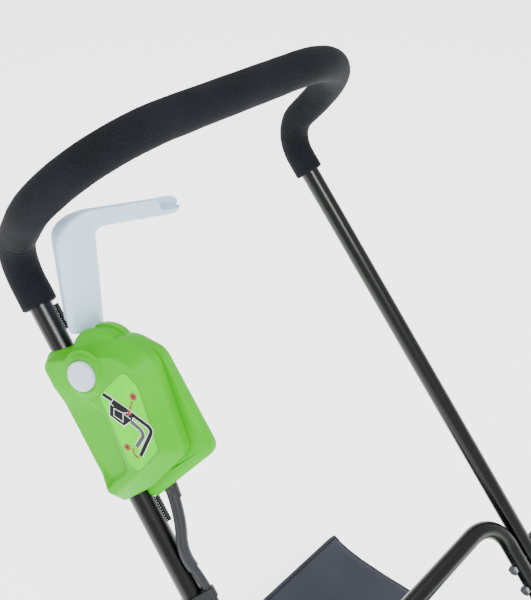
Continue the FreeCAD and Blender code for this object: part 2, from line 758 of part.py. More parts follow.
def motor_cable_deck():
    """The stretch from the lower leg's clip to the motor housing."""
    start = cable_beside(FLEX_TO)
    first = start + leg_direction() * 22.5
    end = GLAND_POINT - GLAND_DOWN * GLAND_LENGTH
    last = end - GLAND_DOWN * 21
    across = (last - first) * 0.17
    ease = V(0, 6.2, -6.2)
    return straight_cable([start, first, first + across + ease, last - across - ease, last, end])


def cable_clip(centre, cable_centre, along):
    """A band round a leg and the cable beside it."""
    back = along * (CLIP_WIDTH / 2)
    outer = band_face(centre - back, TUBE_R + CLIP_WALL, cable_centre - back, CABLE_R + CLIP_WALL, along)
    band = outer.extrude(along * CLIP_WIDTH)
    tube = rod(centre - along * 30, centre + along * 30, TUBE_R + 0.02)
    cable = rod(cable_centre - along * 30, cable_centre + along * 30, CABLE_R + 0.02)
    return band.cut(tube.fuse(cable))


def leg_direction():
    return (on_handle(upper_x(1), 1) - on_handle(upper_x(0), 0)).normalize()


def upper_cable_clips():
    along = leg_direction()
    return Part.makeCompound([
        cable_clip(on_handle(upper_x(down), down), cable_beside(down), along)
        for down in CLIPS_DOWN
    ])


def lower_cable_clip():
    down = FLEX_TO
    return cable_clip(on_handle(lower_x(down), down), cable_beside(down), leg_direction())


# ---------------------------------------------------------------- chassis
def side_plate():
    plate = slab(PLATE_OUTLINE, in_side_view(PLATE_IN), V(PLATE, 0, 0))
    holes = [
        rod_x(0, 400, REEL_Y, REEL_Z, BEARING_R),
        rod_x(0, 400, PIVOT_Y, PIVOT_Z, BOLT_R + RUNNING_GAP),
        rod_x(0, 400, AXLE_Y, AXLE_Z, AXLE_R),
        rod_x(0, 400, *REAR_TIE, TIE_R - 1),
        rod_x(0, 400, *FRONT_TIE, TIE_R - 1),
        rod_x(0, 400, MOTOR_Y, MOTOR_Z, MOTOR_SHAFT_R + 4),
        height_slot(),
    ]
    return plate.cut(holes)


def height_slot():
    """Upright slot that the roller bracket's bolts slide in."""
    half = BOLT_R + CLEAR
    low = BRACKET_BOLTS[0] - HEIGHT_TRAVEL
    high = BRACKET_BOLTS[1]
    middle = Part.makeBox(400, 2 * half, high - low, V(0, ROLLER_Y - half, low))
    return middle.fuse([rod_x(0, 400, ROLLER_Y, low, half), rod_x(0, 400, ROLLER_Y, high, half)])


def right_side_plate():
    return side_plate()


def left_side_plate():
    return mirrored(side_plate())


def tie_bar(y, z):
    """A shouldered bar between the side plates, riveted at both ends."""
    bar = rod_x(-PLATE_IN, PLATE_IN, y, z, TIE_R)
    tenon = rod_x(-PLATE_OUT - 2, PLATE_OUT + 2, y, z, TIE_R - 1)
    rivets = [rod_x(PLATE_OUT, PLATE_OUT + 3, y, z, TIE_R + 2), rod_x(-PLATE_OUT - 3, -PLATE_OUT, y, z, TIE_R + 2)]
    return bar.fuse([tenon] + rivets)


def tie_bars():
    return Part.makeCompound([tie_bar(*REAR_TIE), tie_bar(*FRONT_TIE)])


def reel_cover():
    """Curved sheet over the reel, from its front to above the discharge."""
    sheet = ring_x(-PLATE_IN, PLATE_IN, REEL_Y, REEL_Z, REEL_COVER_R, REEL_COVER_R - COVER_WALL)
    start, end = math.radians(-8), math.radians(142)
    reach = 2.2 * REEL_COVER_R
    middle = (start + end) / 2
    points = [V(-PLATE_IN - 1, REEL_Y, REEL_Z)] + [
        V(-PLATE_IN - 1, REEL_Y + reach * math.cos(a), REEL_Z + reach * math.sin(a))
        for a in (start, (start + middle) / 2, middle, (middle + end) / 2, end)
    ]
    wedge = Part.Face(Part.makePolygon(points + points[:1])).extrude(V(2 * PLATE_IN + 2, 0, 0))
    hem = rod_x(-PLATE_IN, PLATE_IN, REEL_Y + 75.8 * math.cos(start), REEL_Z + 75.8 * math.sin(start), 3.0)
    return sheet.common(wedge).fuse(hem)


def motor_housing():
    """Moulded hump over the motor, seated on the reel cover."""
    block = slab(HOUSING_PROFILE, in_side_view(-HOUSING_HALF), V(2 * HOUSING_HALF, 0, 0))
    ends = [e for e in block.Edges if abs(abs(e.CenterOfMass.x) - HOUSING_HALF) < 0.01]
    block = block.makeFillet(10.0, ends)
    room = slab(HOUSING_PROFILE, in_side_view(-HOUSING_HALF), V(2 * HOUSING_HALF, 0, 0))
    room = scaled_about(room, COVER_WALL)
    seat = rod_x(-400, 400, REEL_Y, REEL_Z, REEL_COVER_R + 0.1)
    nose_room = rod_x(-HOUSING_HALF - 1, 0, MOTOR_Y, MOTOR_Z, 13.0 + CLEAR)
    shell = block.cut([room, seat, cable_gland_hole(), nose_room])
    return largest(shell)


def scaled_about(shape, wall):
    """The same block, smaller by the wall on every side."""
    box = shape.BoundBox
    centre = box.Center
    matrix = FreeCAD.Matrix()
    matrix.move(centre * -1)
    matrix.scale(
        (box.XLength - 2 * wall) / box.XLength,
        (box.YLength - 2 * wall) / box.YLength,
        (box.ZLength - 2 * wall) / box.ZLength,
    )
    matrix.move(centre)
    return shape.transformGeometry(matrix)


def cable_gland_hole():
    return rod(GLAND_POINT - GLAND_DOWN * 6, GLAND_POINT + GLAND_DOWN * 20, CABLE_R + 2.5)


def motor_gland():
    """Tapered strain relief on the rear shoulder of the motor housing."""
    start = GLAND_POINT - GLAND_DOWN * GLAND_LENGTH
    taper = Part.makeCone(CABLE_R + 1.2, CABLE_R + 4.0, GLAND_LENGTH, start, GLAND_DOWN)
    neck = rod(GLAND_POINT, GLAND_POINT + GLAND_DOWN * 10, CABLE_R + 2.5)
    bore = rod(start - GLAND_DOWN, GLAND_POINT + GLAND_DOWN * 11, CABLE_R)
    return taper.fuse(neck).cut(bore)


def motor_body():
    """Motor can, and the nose and flange that bolt it to the left side plate."""
    can = rod_x(-HOUSING_HALF + COVER_WALL + 1, -MOTOR_IN, MOTOR_Y, MOTOR_Z, MOTOR_R)
    nose = rod_x(-PLATE_IN, -HOUSING_HALF + COVER_WALL + 1, MOTOR_Y, MOTOR_Z, 13.0)
    flange = rod_x(-PLATE_IN, -PLATE_IN + 3, MOTOR_Y, MOTOR_Z - 3, 18.0)
    bore = rod_x(-PLATE_IN - 1, -PLATE_IN + 62, MOTOR_Y, MOTOR_Z, MOTOR_SHAFT_R + RUNNING_GAP)
    return can.fuse([nose, flange]).cut(bore)


def belt_case(to_left):
    """Thin moulded case outside a side plate, over both pulleys."""
    x0, x1 = PLATE_OUT + 0.3, COVER_OUT
    outer = pulley_band(46.0, 24.0, x0).extrude(V(x1 - x0, 0, 0))
    outer = outer.makeFillet(5.0, [e for e in outer.Edges if abs(e.CenterOfMass.x - x1) < 0.01])
    inner = pulley_band(46.0 - COVER_WALL, 24.0 - COVER_WALL, x0 - 1)
    shell = outer.cut(inner.extrude(V(x1 - COVER_WALL - x0 + 1, 0, 0)))
    return mirrored(shell) if to_left else shell


def belt_cover():
    return belt_case(True)


def right_end_cover():
    return belt_case(False)


def drive_belt():
    x0, width = -PULLEY_OUT + 0.5, PULLEY_OUT - PULLEY_IN - 1.0
    rise = BELT_THICK + CLEAR
    outer = pulley_band(REEL_PULLEY_R + rise, MOTOR_PULLEY_R + rise, x0)
    inner = pulley_band(REEL_PULLEY_R + CLEAR, MOTOR_PULLEY_R + CLEAR, x0)
    return outer.cut(inner).extrude(V(width, 0, 0))


def reel_bearings():
    """Flanged ball bearing in each side plate."""
    inner = REEL_SHAFT_R + RUNNING_GAP
    ring = ring_x(PLATE_IN - 3, PLATE_OUT + 2, REEL_Y, REEL_Z, BEARING_R, inner)
    flange = ring_x(PLATE_IN - 5, PLATE_IN, REEL_Y, REEL_Z, BEARING_R + 4, inner)
    return both_sides(ring.fuse(flange))


def knife_edge():
    reach = REEL_R + KNIFE_GAP
    return REEL_Y - reach * math.sin(KNIFE_ANGLE), REEL_Z - reach * math.cos(KNIFE_ANGLE)


def bed_knife():
    """Flat blade under the reel, bevelled to its cutting edge."""
    y, z = knife_edge()
    profile = [V(-PLATE_IN, y, z), V(-PLATE_IN, y - 42, z - 1), V(-PLATE_IN, y - 42, z - 4), V(-PLATE_IN, y - 4, z - 4)]
    return Part.Face(Part.makePolygon(profile + profile[:1])).extrude(V(2 * PLATE_IN, 0, 0))


def knife_carrier():
    """Stiff bar that the bed knife is screwed under."""
    y, z = knife_edge()
    corners = [
        (y - 52, z - 8, 2), (y - 52, z + 12, 3), (y - 30, z + 12, 3), (y - 30, z - 0.4, 1),
        (y - 43, z - 0.8, 0.5), (y - 43, z - 8, 1),
    ]
    return slab(corners, in_side_view(-PLATE_IN), V(2 * PLATE_IN, 0, 0))


def knife_screws():
    y, z = knife_edge()
    screws = []
    for x in (-160, -80, 0, 80, 160):
        head = Part.makeCone(4.5, 2.5, 2.5, V(x, y - 36, z - 6.6))
        screws.append(head)
    return Part.makeCompound(screws)


def knife_adjusters():
    """Set screws that close the bed knife onto the reel."""
    y, z = knife_edge()
    one = hexagon_head(V(PLATE_IN - 14, y - 41, z + 12.1), V(0, 0, 1), 8, 4)
    stem = rod(V(PLATE_IN - 14, y - 41, z + 16), V(PLATE_IN - 14, y - 41, z + 24), 2.5)
    return both_sides(one.fuse(stem))


def cover_screws():
    """Small screws that hold the belt and end covers."""
    screws = []
    for y, z in ((REEL_Y, REEL_Z - 35), (REEL_Y - 34, REEL_Z + 14), (MOTOR_Y, MOTOR_Z + 14)):
        head = rod_x(COVER_OUT, COVER_OUT + 1.6, y, z, 4.0)
        screws.append(head.makeFillet(0.8, [e for e in head.Edges if e.CenterOfMass.x > COVER_OUT + 1]))
    one_side = Part.makeCompound(screws)
    return Part.makeCompound([one_side, mirrored(one_side)])


# ---------------------------------------------------------------- reel
def reel_shaft():
    return rod_x(-PULLEY_OUT - 2, PLATE_OUT + 12, REEL_Y, REEL_Z, REEL_SHAFT_R)


def spider_stations():
    step = 2 * (REEL_HALF - 8) / (SPIDERS - 1)
    return [-REEL_HALF + 8 + k * step for k in range(SPIDERS)]


def reel_spiders():
    """Pressed discs that carry the blades, each with lightening holes."""
    discs = []
    for x in spider_stations():
        disc = ring_x(x - 1.5, x + 1.5, REEL_Y, REEL_Z, REEL_R - BLADE_DEPTH, REEL_SHAFT_R)
        hub = ring_x(x - 6, x + 6, REEL_Y, REEL_Z, REEL_SHAFT_R + 5, REEL_SHAFT_R)
        holes = [
            rod_x(x - 5, x + 5, REEL_Y + 27 * math.cos(a), REEL_Z + 27 * math.sin(a), 8.0)
            for a in [2 * math.pi * (k + 0.5) / BLADES for k in range(BLADES)]
        ]
        discs.append(disc.cut(holes).fuse(hub))
    return Part.makeCompound(discs)


def helical_blade(start_turn):
    """A twisted strip from one end of the reel to the other."""
    length = 2 * REEL_HALF
    helix = Part.makeHelix(length * 360 / BLADE_TWIST, length, REEL_R - BLADE_DEPTH / 2)
    inner, outer = REEL_R - BLADE_DEPTH, REEL_R
    half = BLADE_THICK / 2
    points = [V(inner, -half, 0), V(outer - 0.1, -half, 0), V(outer - 0.1, half, 0), V(inner, half, 0)]
    profile = Part.makePolygon(points + points[:1])
    blade = Part.Wire(helix).makePipeShell([profile], True, True)
    blade.rotate(V(0, 0, 0), V(0, 0, 1), start_turn)
    blade.rotate(V(0, 0, 0), V(0, 1, 0), 90)
    blade.translate(V(-REEL_HALF, REEL_Y, REEL_Z))
    return blade


def reel_blades():
    return Part.makeCompound([helical_blade(360 * k / BLADES) for k in range(BLADES)])


def pulley(y, z, radius, bore):
    """Flat-belt pulley with a flange on each side."""
    drum_part = ring_x(-PULLEY_OUT, -PULLEY_IN, y, z, radius, bore)
    inner_flange = ring_x(-PULLEY_IN, -PULLEY_IN + 1.5, y, z, radius + 4, bore)
    outer_flange = ring_x(-PULLEY_OUT - 1.2, -PULLEY_OUT, y, z, radius + 2, bore)
    return drum_part.fuse([inner_flange, outer_flange])


def reel_pulley():
    wheel = pulley(REEL_Y, REEL_Z, REEL_PULLEY_R, REEL_SHAFT_R)
    holes = [
        rod_x(-300, -200, REEL_Y + 23 * math.cos(a), REEL_Z + 23 * math.sin(a), 7.0)
        for a in [2 * math.pi * k / 5 for k in range(5)]
    ]
    return wheel.cut(holes)


def motor_pulley():
    return pulley(MOTOR_Y, MOTOR_Z, MOTOR_PULLEY_R, MOTOR_SHAFT_R)


def motor_shaft():
    return rod_x(-PULLEY_OUT - 1.5, -PLATE_IN + 60, MOTOR_Y, MOTOR_Z, MOTOR_SHAFT_R)


# ---------------------------------------------------------------- wheels
def axle_bolts():
    """Stub axles: a head inside the plate, a spacer outside it, then the wheel's journal."""
    head = hexagon_head(V(PLATE_IN, AXLE_Y, AXLE_Z), V(-1, 0, 0), 17, 5)
    journal = rod_x(PLATE_IN, WHEEL_IN + WHEEL_WIDTH - 2, AXLE_Y, AXLE_Z, AXLE_R)
    spacer = ring_x(PLATE_OUT, WHEEL_IN - 1, AXLE_Y, AXLE_Z, 11.0, AXLE_R - 1)
    clip = rod_x(WHEEL_IN + WHEEL_WIDTH - 7, WHEEL_IN + WHEEL_WIDTH - 5, AXLE_Y, AXLE_Z, AXLE_R + 3)
    return both_sides(head.fuse([journal, spacer, clip]))


def wheel_tyre():
    """Ribbed tread on a shallow channel."""
    x0, x1 = WHEEL_IN, WHEEL_IN + WHEEL_WIDTH
    tyre = ring_x(x0, x1, AXLE_Y, AXLE_Z, WHEEL_R, WHEEL_R - 12)
    tyre = tyre.makeFillet(4.0, [e for e in tyre.Edges if e.BoundBox.ZLength > 2 * WHEEL_R - 1])
    grooves = [
        ring_x(x, x + 3, AXLE_Y, AXLE_Z, WHEEL_R + 1, WHEEL_R - 3)
        for x in (x0 + 10, x0 + WHEEL_WIDTH / 2 - 1.5, x1 - 13)
    ]
    return tyre.cut(grooves)


def wheel_hub():
    """Moulded rim, ten spokes and a bored boss."""
    x0, x1 = WHEEL_IN, WHEEL_IN + WHEEL_WIDTH
    rim = ring_x(x0 + 3, x1 - 3, AXLE_Y, AXLE_Z, WHEEL_R - 12, WHEEL_R - 17)
    disc = ring_x(x0 + 15, x0 + 19, AXLE_Y, AXLE_Z, WHEEL_R - 16, 15)
    boss = rod_x(x0 + 1, x1 - 4, AXLE_Y, AXLE_Z, 18)
    spokes = []
    for k in range(10):
        spoke = Part.makeBox(22, 4, WHEEL_R - 27, V(x0 + 8, AXLE_Y - 2, AXLE_Z + 11))
        spokes.append(spoke.rotated(V(0, AXLE_Y, AXLE_Z), X_AXIS, 36 * k))
    bore = rod_x(x0 - 5, x1 + 5, AXLE_Y, AXLE_Z, AXLE_R + RUNNING_GAP)
    clip_room = rod_x(x1 - 8, x1 + 5, AXLE_Y, AXLE_Z, 12)
    return rim.fuse([disc, boss] + spokes).cut([bore, clip_room])


def hub_cap():
    """Snap-in cap over the end of the axle."""
    x1 = WHEEL_IN + WHEEL_WIDTH
    cap = rod_x(x1 - 4, x1 + 2, AXLE_Y, AXLE_Z, 20.0)
    cap = cap.makeFillet(2.4, [e for e in cap.Edges if e.CenterOfMass.x > x1 + 1])
    room = rod_x(x1 - 5, x1 - 1, AXLE_Y, AXLE_Z, 12.0)
    return cap.cut(room)


# ---------------------------------------------------------------- rear roller
def rear_roller():
    """Hollow roller with end plugs."""
    shell = ring_x(-ROLLER_HALF, ROLLER_HALF, ROLLER_Y, ROLLER_R, ROLLER_R, ROLLER_R - 3)
    plug = ring_x(ROLLER_HALF - 14, ROLLER_HALF, ROLLER_Y, ROLLER_R, ROLLER_R - 3, ROLLER_SHAFT_R + RUNNING_GAP)
    return shell.fuse([plug, mirrored(plug)])


def roller_frame():
    """Upright strap at each end of the roller, welded to the roller's shaft."""
    half = BRACKET_HALF_WIDTH
    corners = [
        (ROLLER_Y - half, 14, 9), (ROLLER_Y + half, 14, 9),
        (ROLLER_Y + half, BRACKET_TOP, 9), (ROLLER_Y - half, BRACKET_TOP, 9),
    ]
    strap = slab(corners, in_side_view(BRACKET_IN), V(BRACKET, 0, 0))
    for z in BRACKET_BOLTS:
        strap = strap.cut(rod_x(0, 400, ROLLER_Y, z, BOLT_R))
    reach = BRACKET_IN + BRACKET + 2
    shaft = rod_x(-reach, reach, ROLLER_Y, ROLLER_R, ROLLER_SHAFT_R)
    return shaft.fuse([strap, mirrored(strap)])


def height_bolts():
    """Two bolts per strap through the slot, each with a flanged nut outside."""
    solids = []
    for z in BRACKET_BOLTS:
        shank = rod_x(BRACKET_IN, PLATE_OUT + 11, ROLLER_Y, z, BOLT_R)
        head = rod_x(BRACKET_IN - 3, BRACKET_IN, ROLLER_Y, z, 7.0)
        flange = rod_x(PLATE_OUT + CLEAR, PLATE_OUT + 2, ROLLER_Y, z, 8.5)
        nut = hexagon_head(V(PLATE_OUT + 2, ROLLER_Y, z), V(1, 0, 0), 13, 6)
        solids.append(shank.fuse([head, flange, nut]))
    side = Part.makeCompound(solids)
    return Part.makeCompound([side, mirrored(side)])


# ---------------------------------------------------------------- grass catcher
def bag_section(y, half, low, high, radius):
    corners = [(-half, low, radius), (half, low, radius), (half, high, radius), (-half, high, radius)]
    return rounded_outline(corners, lambda x, z: V(x, y, z))


def catcher_bag():
    """Fabric box, open at the front, narrower and lower at the back."""
    outer = Part.makeLoft([
        bag_section(MOUTH_Y, MOUTH_HALF, MOUTH_LOW, MOUTH_HIGH, BAG_CORNER),
        bag_section(BAG_REAR_Y, BAG_REAR_HALF, BAG_REAR_LOW, BAG_REAR_HIGH, BAG_CORNER)], True, True)
    wall = BAG_WALL
    inner = Part.makeLoft([
        bag_section(MOUTH_Y, MOUTH_HALF - wall, MOUTH_LOW + wall, MOUTH_HIGH - wall, BAG_CORNER - wall),
        bag_section(BAG_REAR_Y + wall, BAG_REAR_HALF - wall, BAG_REAR_LOW + wall, BAG_REAR_HIGH - wall,
                    BAG_CORNER - wall)], True, True)
    return outer.cut(inner)


def catcher_frame():
    """Wire loop behind which the bag's mouth is hemmed."""
    y = MOUTH_Y + WIRE_R + CLEAR
    inset = WIRE_R
    loop = bag_section(y, MOUTH_HALF - inset, MOUTH_LOW + inset, MOUTH_HIGH - inset, BAG_CORNER - inset)
    edge = loop.OrderedEdges[1]
    start = edge.valueAt(edge.FirstParameter)
    ring = Part.Wire(Part.Circle(start, edge.tangentAt(edge.FirstParameter), WIRE_R).toShape())
    wire = loop.makePipeShell([ring], True, True)
    return wire.fuse([catcher_hook(-HOOK_X, y), catcher_hook(HOOK_X, y)])


def catcher_hook(x, frame_y):
    """A strap welded on the wire, that hangs on the rear tie bar by an open eye."""
    y, z = REAR_TIE
    top = MOUTH_HIGH - WIRE_R
    half = HOOK_WIDTH / 2
    corners = [
        (frame_y - 2, top - 2, 1), (frame_y - 2, top + 5, 2), (y - 5, z + 18, 8), (y + 8, z + 10, 4),
        (y + 8, z - 3, 2), (y - 8, z - 3, 2), (y - 10, z + 9, 6),
    ]
    strap = slab(corners, in_side_view(x - half), V(HOOK_WIDTH, 0, 0))
    bar = rod_x(x - 40, x + 40, y, z, TIE_R + 0.1)
    mouth = Part.makeBox(80, 2 * TIE_R + 0.2, 30, V(x - 40, y - TIE_R - 0.1, z - 30))
    return strap.cut(bar.fuse(mouth))


def main():
    os.makedirs("parts", exist_ok=True)
    for name, make in NODES.items():
        shape = make()
        solids = len(shape.Solids)
        print(f"{name:22s} solids {solids:2d} volume {shape.Volume / 1000:9.2f} cm3 valid {shape.isValid()}")
        shape.exportStep(f"parts/{name}.step")


NODES = {
    "upper_handle_tube": upper_handle_tube,
    "upper_handle_plugs": upper_handle_plugs,
    "grip_foam": grip_foam,
    "lower_handle_tube": lower_handle_tube,
    "fold_bolts": fold_bolts,
    "clamp_bolts": clamp_bolts,
    "right_clamp_knob": clamp_knob,
    "left_clamp_knob": lambda: mirrored(clamp_knob()),
    "pivot_bolts": pivot_bolts,
    "switch_box_front": switch_box_front,
    "switch_box_rear": switch_box_rear,
    "switch_box_screws": switch_box_screws,
    "switch_label": switch_label,
    "start_button": start_button,
    "button_spring": button_spring,
    "micro_switch": micro_switch,
    "switch_lever": switch_lever,
    "lever_pin": lambda: in_box(lever_pin()),
    "lever_spring": lever_spring,
    "power_inlet": power_inlet,
    "cable_gland": cable_gland,
    "motor_cable_upper": motor_cable_upper,
    "motor_cable_fold": motor_cable_fold,
    "motor_cable_deck": motor_cable_deck,
    "upper_cable_clips": upper_cable_clips,
    "lower_cable_clip": lower_cable_clip,
    "motor_gland": motor_gland,
    "right_side_plate": right_side_plate,
    "left_side_plate": left_side_plate,
    "tie_bars": tie_bars,
    "reel_cover": reel_cover,
    "motor_housing": motor_housing,
    "motor_body": motor_body,
    "motor_shaft": motor_shaft,
    "motor_pulley": motor_pulley,
    "belt_cover": belt_cover,
    "right_end_cover": right_end_cover,
    "cover_screws": cover_screws,
    "drive_belt": drive_belt,
    "reel_bearings": reel_bearings,
    "knife_carrier": knife_carrier,
    "bed_knife": bed_knife,
    "knife_screws": knife_screws,
    "knife_adjusters": knife_adjusters,
    "reel_shaft": reel_shaft,
    "reel_spiders": reel_spiders,
    "reel_blades": reel_blades,
    "reel_pulley": reel_pulley,
    "axle_bolts": axle_bolts,
    "right_tyre": wheel_tyre,
    "left_tyre": lambda: mirrored(wheel_tyre()),
    "right_wheel": wheel_hub,
    "left_wheel": lambda: mirrored(wheel_hub()),
    "right_hub_cap": hub_cap,
    "left_hub_cap": lambda: mirrored(hub_cap()),
    "rear_roller": rear_roller,
    "roller_frame": roller_frame,
    "height_bolts": height_bolts,
    "catcher_bag": catcher_bag,
    "catcher_frame": catcher_frame,
}

main()
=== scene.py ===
"""Electric reel mower: detailed skins, cables, fabric, materials, light and camera on the CAD frame.

Sizes are millimetres until a mesh is made, where MM turns them into metres. +X is the operator's
right, +Y is forward and +Z is up, with the origin on the ground under the middle of the machine.
"""
import bmesh
import bpy
import json
import math
from mathutils import Matrix, Vector, noise


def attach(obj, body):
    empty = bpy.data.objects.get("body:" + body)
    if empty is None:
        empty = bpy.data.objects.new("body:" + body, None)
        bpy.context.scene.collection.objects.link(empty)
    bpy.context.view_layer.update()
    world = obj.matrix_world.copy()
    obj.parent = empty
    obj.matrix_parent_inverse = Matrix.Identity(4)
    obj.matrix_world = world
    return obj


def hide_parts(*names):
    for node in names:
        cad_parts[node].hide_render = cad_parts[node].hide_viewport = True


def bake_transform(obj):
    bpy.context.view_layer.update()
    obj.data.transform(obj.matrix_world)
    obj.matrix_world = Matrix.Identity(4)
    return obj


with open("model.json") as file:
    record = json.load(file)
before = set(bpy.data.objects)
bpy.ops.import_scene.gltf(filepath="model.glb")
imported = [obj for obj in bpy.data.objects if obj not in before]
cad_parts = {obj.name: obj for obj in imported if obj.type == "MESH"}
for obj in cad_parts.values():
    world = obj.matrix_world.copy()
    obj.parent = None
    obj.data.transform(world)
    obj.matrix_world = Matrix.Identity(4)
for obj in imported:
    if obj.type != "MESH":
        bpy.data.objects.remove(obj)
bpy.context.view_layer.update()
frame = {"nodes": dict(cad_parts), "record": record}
MM = 0.001
NODES = frame["nodes"]

# ---- handle, as in the CAD model
LEAN = math.radians(46.3)  # legs below the horizontal
SPLAY = math.radians(2.165)  # each leg outwards
KINK = math.radians(84.9)  # turn from the leg to the grip's arm
KINK_R = 46.4
KINK_Y = -432.984
KINK_Z = 860.0
KINK_HALF_WIDTH = 212.4
GRIP_REACH = 209.0  # kink to the grip's cross bar
GRIP_CORNER_R = 127.4
LEG_GAP = 25.9  # between the legs of the upper and the lower handle

# ---- foam sleeve
FOAM_R = 20.0
FOAM_BELOW_KINK = 68.0
FOAM_STEP = 3.0
FOAM_AROUND = 48
FOAM_SKIN = 0.4  # keeps the lumps inside the CAD sleeve
FOAM_LUMP = 0.35
LUMP_SCALE = 0.045  # for each millimetre
CREASE_DEPTH = 0.45
CREASE_SPAN = 6  # rings each way over which the bend is read
FOAM_END = ((0.70, 0.3), (0.90, 0.0), (0.97, 0.9), (1.0, 2.6))  # share of the radius, way in

# ---- switch box: x across it, y up the leg, z out of its face; corners are (x, y, radius)
BOX_DOWN = 195.0
BOX_TURN = math.radians(62)
FACE_Z = 29.5
FACE_CENTRE = Vector((42, -8, 0))
FACE_RINGS = 34
FRONT_SHOULDER = 13.0  # top of the upright wall, where the slope to the face starts
FRONT_RIM = [
    (-17, 79, 10), (88, 57, 45), (115, 26, 26), (95, -80, 14), (34, -101, 40), (-17, -106, 8),
]
FRONT_FACE = [
    (-9, 71, 8), (82, 43, 25), (99, 22, 20), (81, -67, 12), (36, -80, 30), (-11, -94, 8),
]
REAR_RIM = [
    (-17, 79, 10), (88, 57, 45), (115, 26, 26), (117, -92, 14), (20, -117, 10), (-17, -110, 6),
]
REAR_FACE = [
    (-12, 72, 6), (80, 51, 41), (106, 24, 24), (107, -86, 14), (18, -109, 10), (-12, -104, 6),
]
REAR_SHOULDER = -13.0
REAR_Z = -26.0
PARTING_Z = -0.1
LEDGE_TOP = 0.0  # the ledge between the shells fades out above here
LEDGE_FADE = 50.0
LOWERED = [  # the sunk part of the face, below and left of the button
    (-40, 27), (3, 27), (22, 13), (33, 0), (34, -10), (31, -50), (27, -72), (-8, -80), (-40, -84),
]
LOWERED_BY = 6.5
STEP_WIDTH = 5.0  # of the slope round the sunk part
LABEL = [(43, 13, 5), (87, 25, 8), (94, 4, 20), (79, -63, 6), (42, -77, 7), (36, -65, 10)]
LABEL_Z = 29.8
# LABEL_BORDER: how far the darker band of painted shade, in place of the groove's shade, reaches past the
# label
LABEL_BORDER = 0.9
BUTTON = (38.0, 39.0)
BUTTON_R = 16.4
BUTTON_TOP = 37.5
BUTTON_FOOT = FACE_Z - 4.5
SPRING_ROOM_R = 8.5
COLLAR_R = 22.0
COLLAR_TOP = 33.0
COLLAR_FOOT = FACE_Z - 9
DRUM = (47.0, 46.0)
DRUM_R = 34.3
DRUM_FRONT = 13.5
DRUM_BACK = -20.0
SLOT_HALF = 8.5  # half the gap between the drum's cheeks
TURNED_STEPS = 96  # round each turned piece

# ---- drawing on the label: widths of its strokes, and heights of its layers over the label
BAR_WIDTH = 4.2
DRAWN_LEVER_WIDTH = 4.4
WHITE_EDGE = 1.4  # added to a stroke's width by the white stroke under it
INK_FOOT = -0.15
BORDER_LAYER = -0.18
# BORDER_LAYER: top of the darker band of painted shade round the label
EDGE_LAYER = 0.10
BOX_EDGE_LAYER = 0.12
INK_LAYER = 0.16
BOX_LAYER = 0.18
RED_LAYER = 0.20
LINE_LAYER = 0.22
TOP_LAYER = 0.24

# ---- lever, in handle coordinates: x, down the leg, out from the handle's plane
LEVER_OUTER = [(212.3, 109.8, 34.5), (202.7, 6.1, 127.1), (58.9, 37.2, 117.9)]
LEVER_INNER = [(173.9, 117.2, 32.8), (162.9, 31.8, 109.5), (69.2, 52.8, 102.8)]
LEVER_OUTER_R = 36.0
LEVER_INNER_R = 9.0
LEVER_STEPS = (16, 16, 44)  # rings along the arm, round its bend and along the paddle
LEVER_NEAR = -5.0  # its front face, before the plane of the lines above
ARM_DEPTH = 32.0
ARM_ROUNDS = (6.0, 15.0, 3.0)  # outer front, inner front and back edges
ARM_OVERHANG = 3.0  # how far the arm's base passes the inner line
PADDLE_DEPTH = 14.0
PADDLE_ROUNDS = (1.3, 9.0, 2.0)
LEVER_WALL = 2.6
FAR_WALL_DROP = 4.4
ARM_BEVEL = 5.5  # takes the arm's outer back edge clear of the leg
SCOOP_LENGTH = 37.0  # the front wall falls away over the end of the paddle
SCOOP_FALL = 15.0
SCOOP_LEFT = 5.0  # what stays of the front wall's height
TIP_ROUND = 12.0
TIP_FLAT = 0.35  # share of the depth that stays at the very tip
NECK_IN = 27.0  # neck's middle from the arm's outer line
NECK_BACK = 9.0
NECK_HALF = (8.0, 7.0)
OCTAGON = ((-1, -0.7), (-0.8, -1), (0.8, -1), (1, -0.7), (1, 0.7), (0.8, 1), (-0.8, 1), (-1, 0.7))
NECK_RINGS = ((-6.0, 1.0), (6.0, 1.0), (12.0, 0.96), (20.0, 0.9))  # way down, scale

# ---- motor cable and the ribbed strip beside the leg
CABLE_R = 5.0
CABLE_OUT = 17.0  # from the handle's plane
SLEEVE_R = 6.8
STRIP_R = 3.0
STRIP_RIB = 0.55
STRIP_PITCH = 3.0
STRIP_OUT = 15.4  # from the leg's centre line
STRIP_TURN = math.radians(12)  # from the leg's inner side towards its front
STRIP_STEPS = 4  # rings to a rib
CABLE_X = 34.0  # where it leaves the switch box
CABLE_Z = -12.0
GLAND_Y = -105.0
GLAND_ROUTE = ((0, -8, 0), (-3, -42, 4), (-16, -80, 16))  # from the gland, in the box's axes
CLIPPED_AT = (420.0, 500.0, 575.0)  # places down the leg that the upper length passes
FLEX_FROM = 640.0  # the fold length, between places down the leg
FLEX_TO = 788.0
FLEX_EASE = 50.0
FOLD_SLACK = Vector((0, 4, 4))
DECK_STRAIGHT_IN = 22.5
DECK_STRAIGHT_OUT = 21.0
DECK_EASE = Vector((0, 6.2, -6.2))
GLAND_REACH = 12.0
GLAND_POINT = Vector((180, 233, 237))
GLAND_DOWN = Vector((0, 1, -1)).normalized()

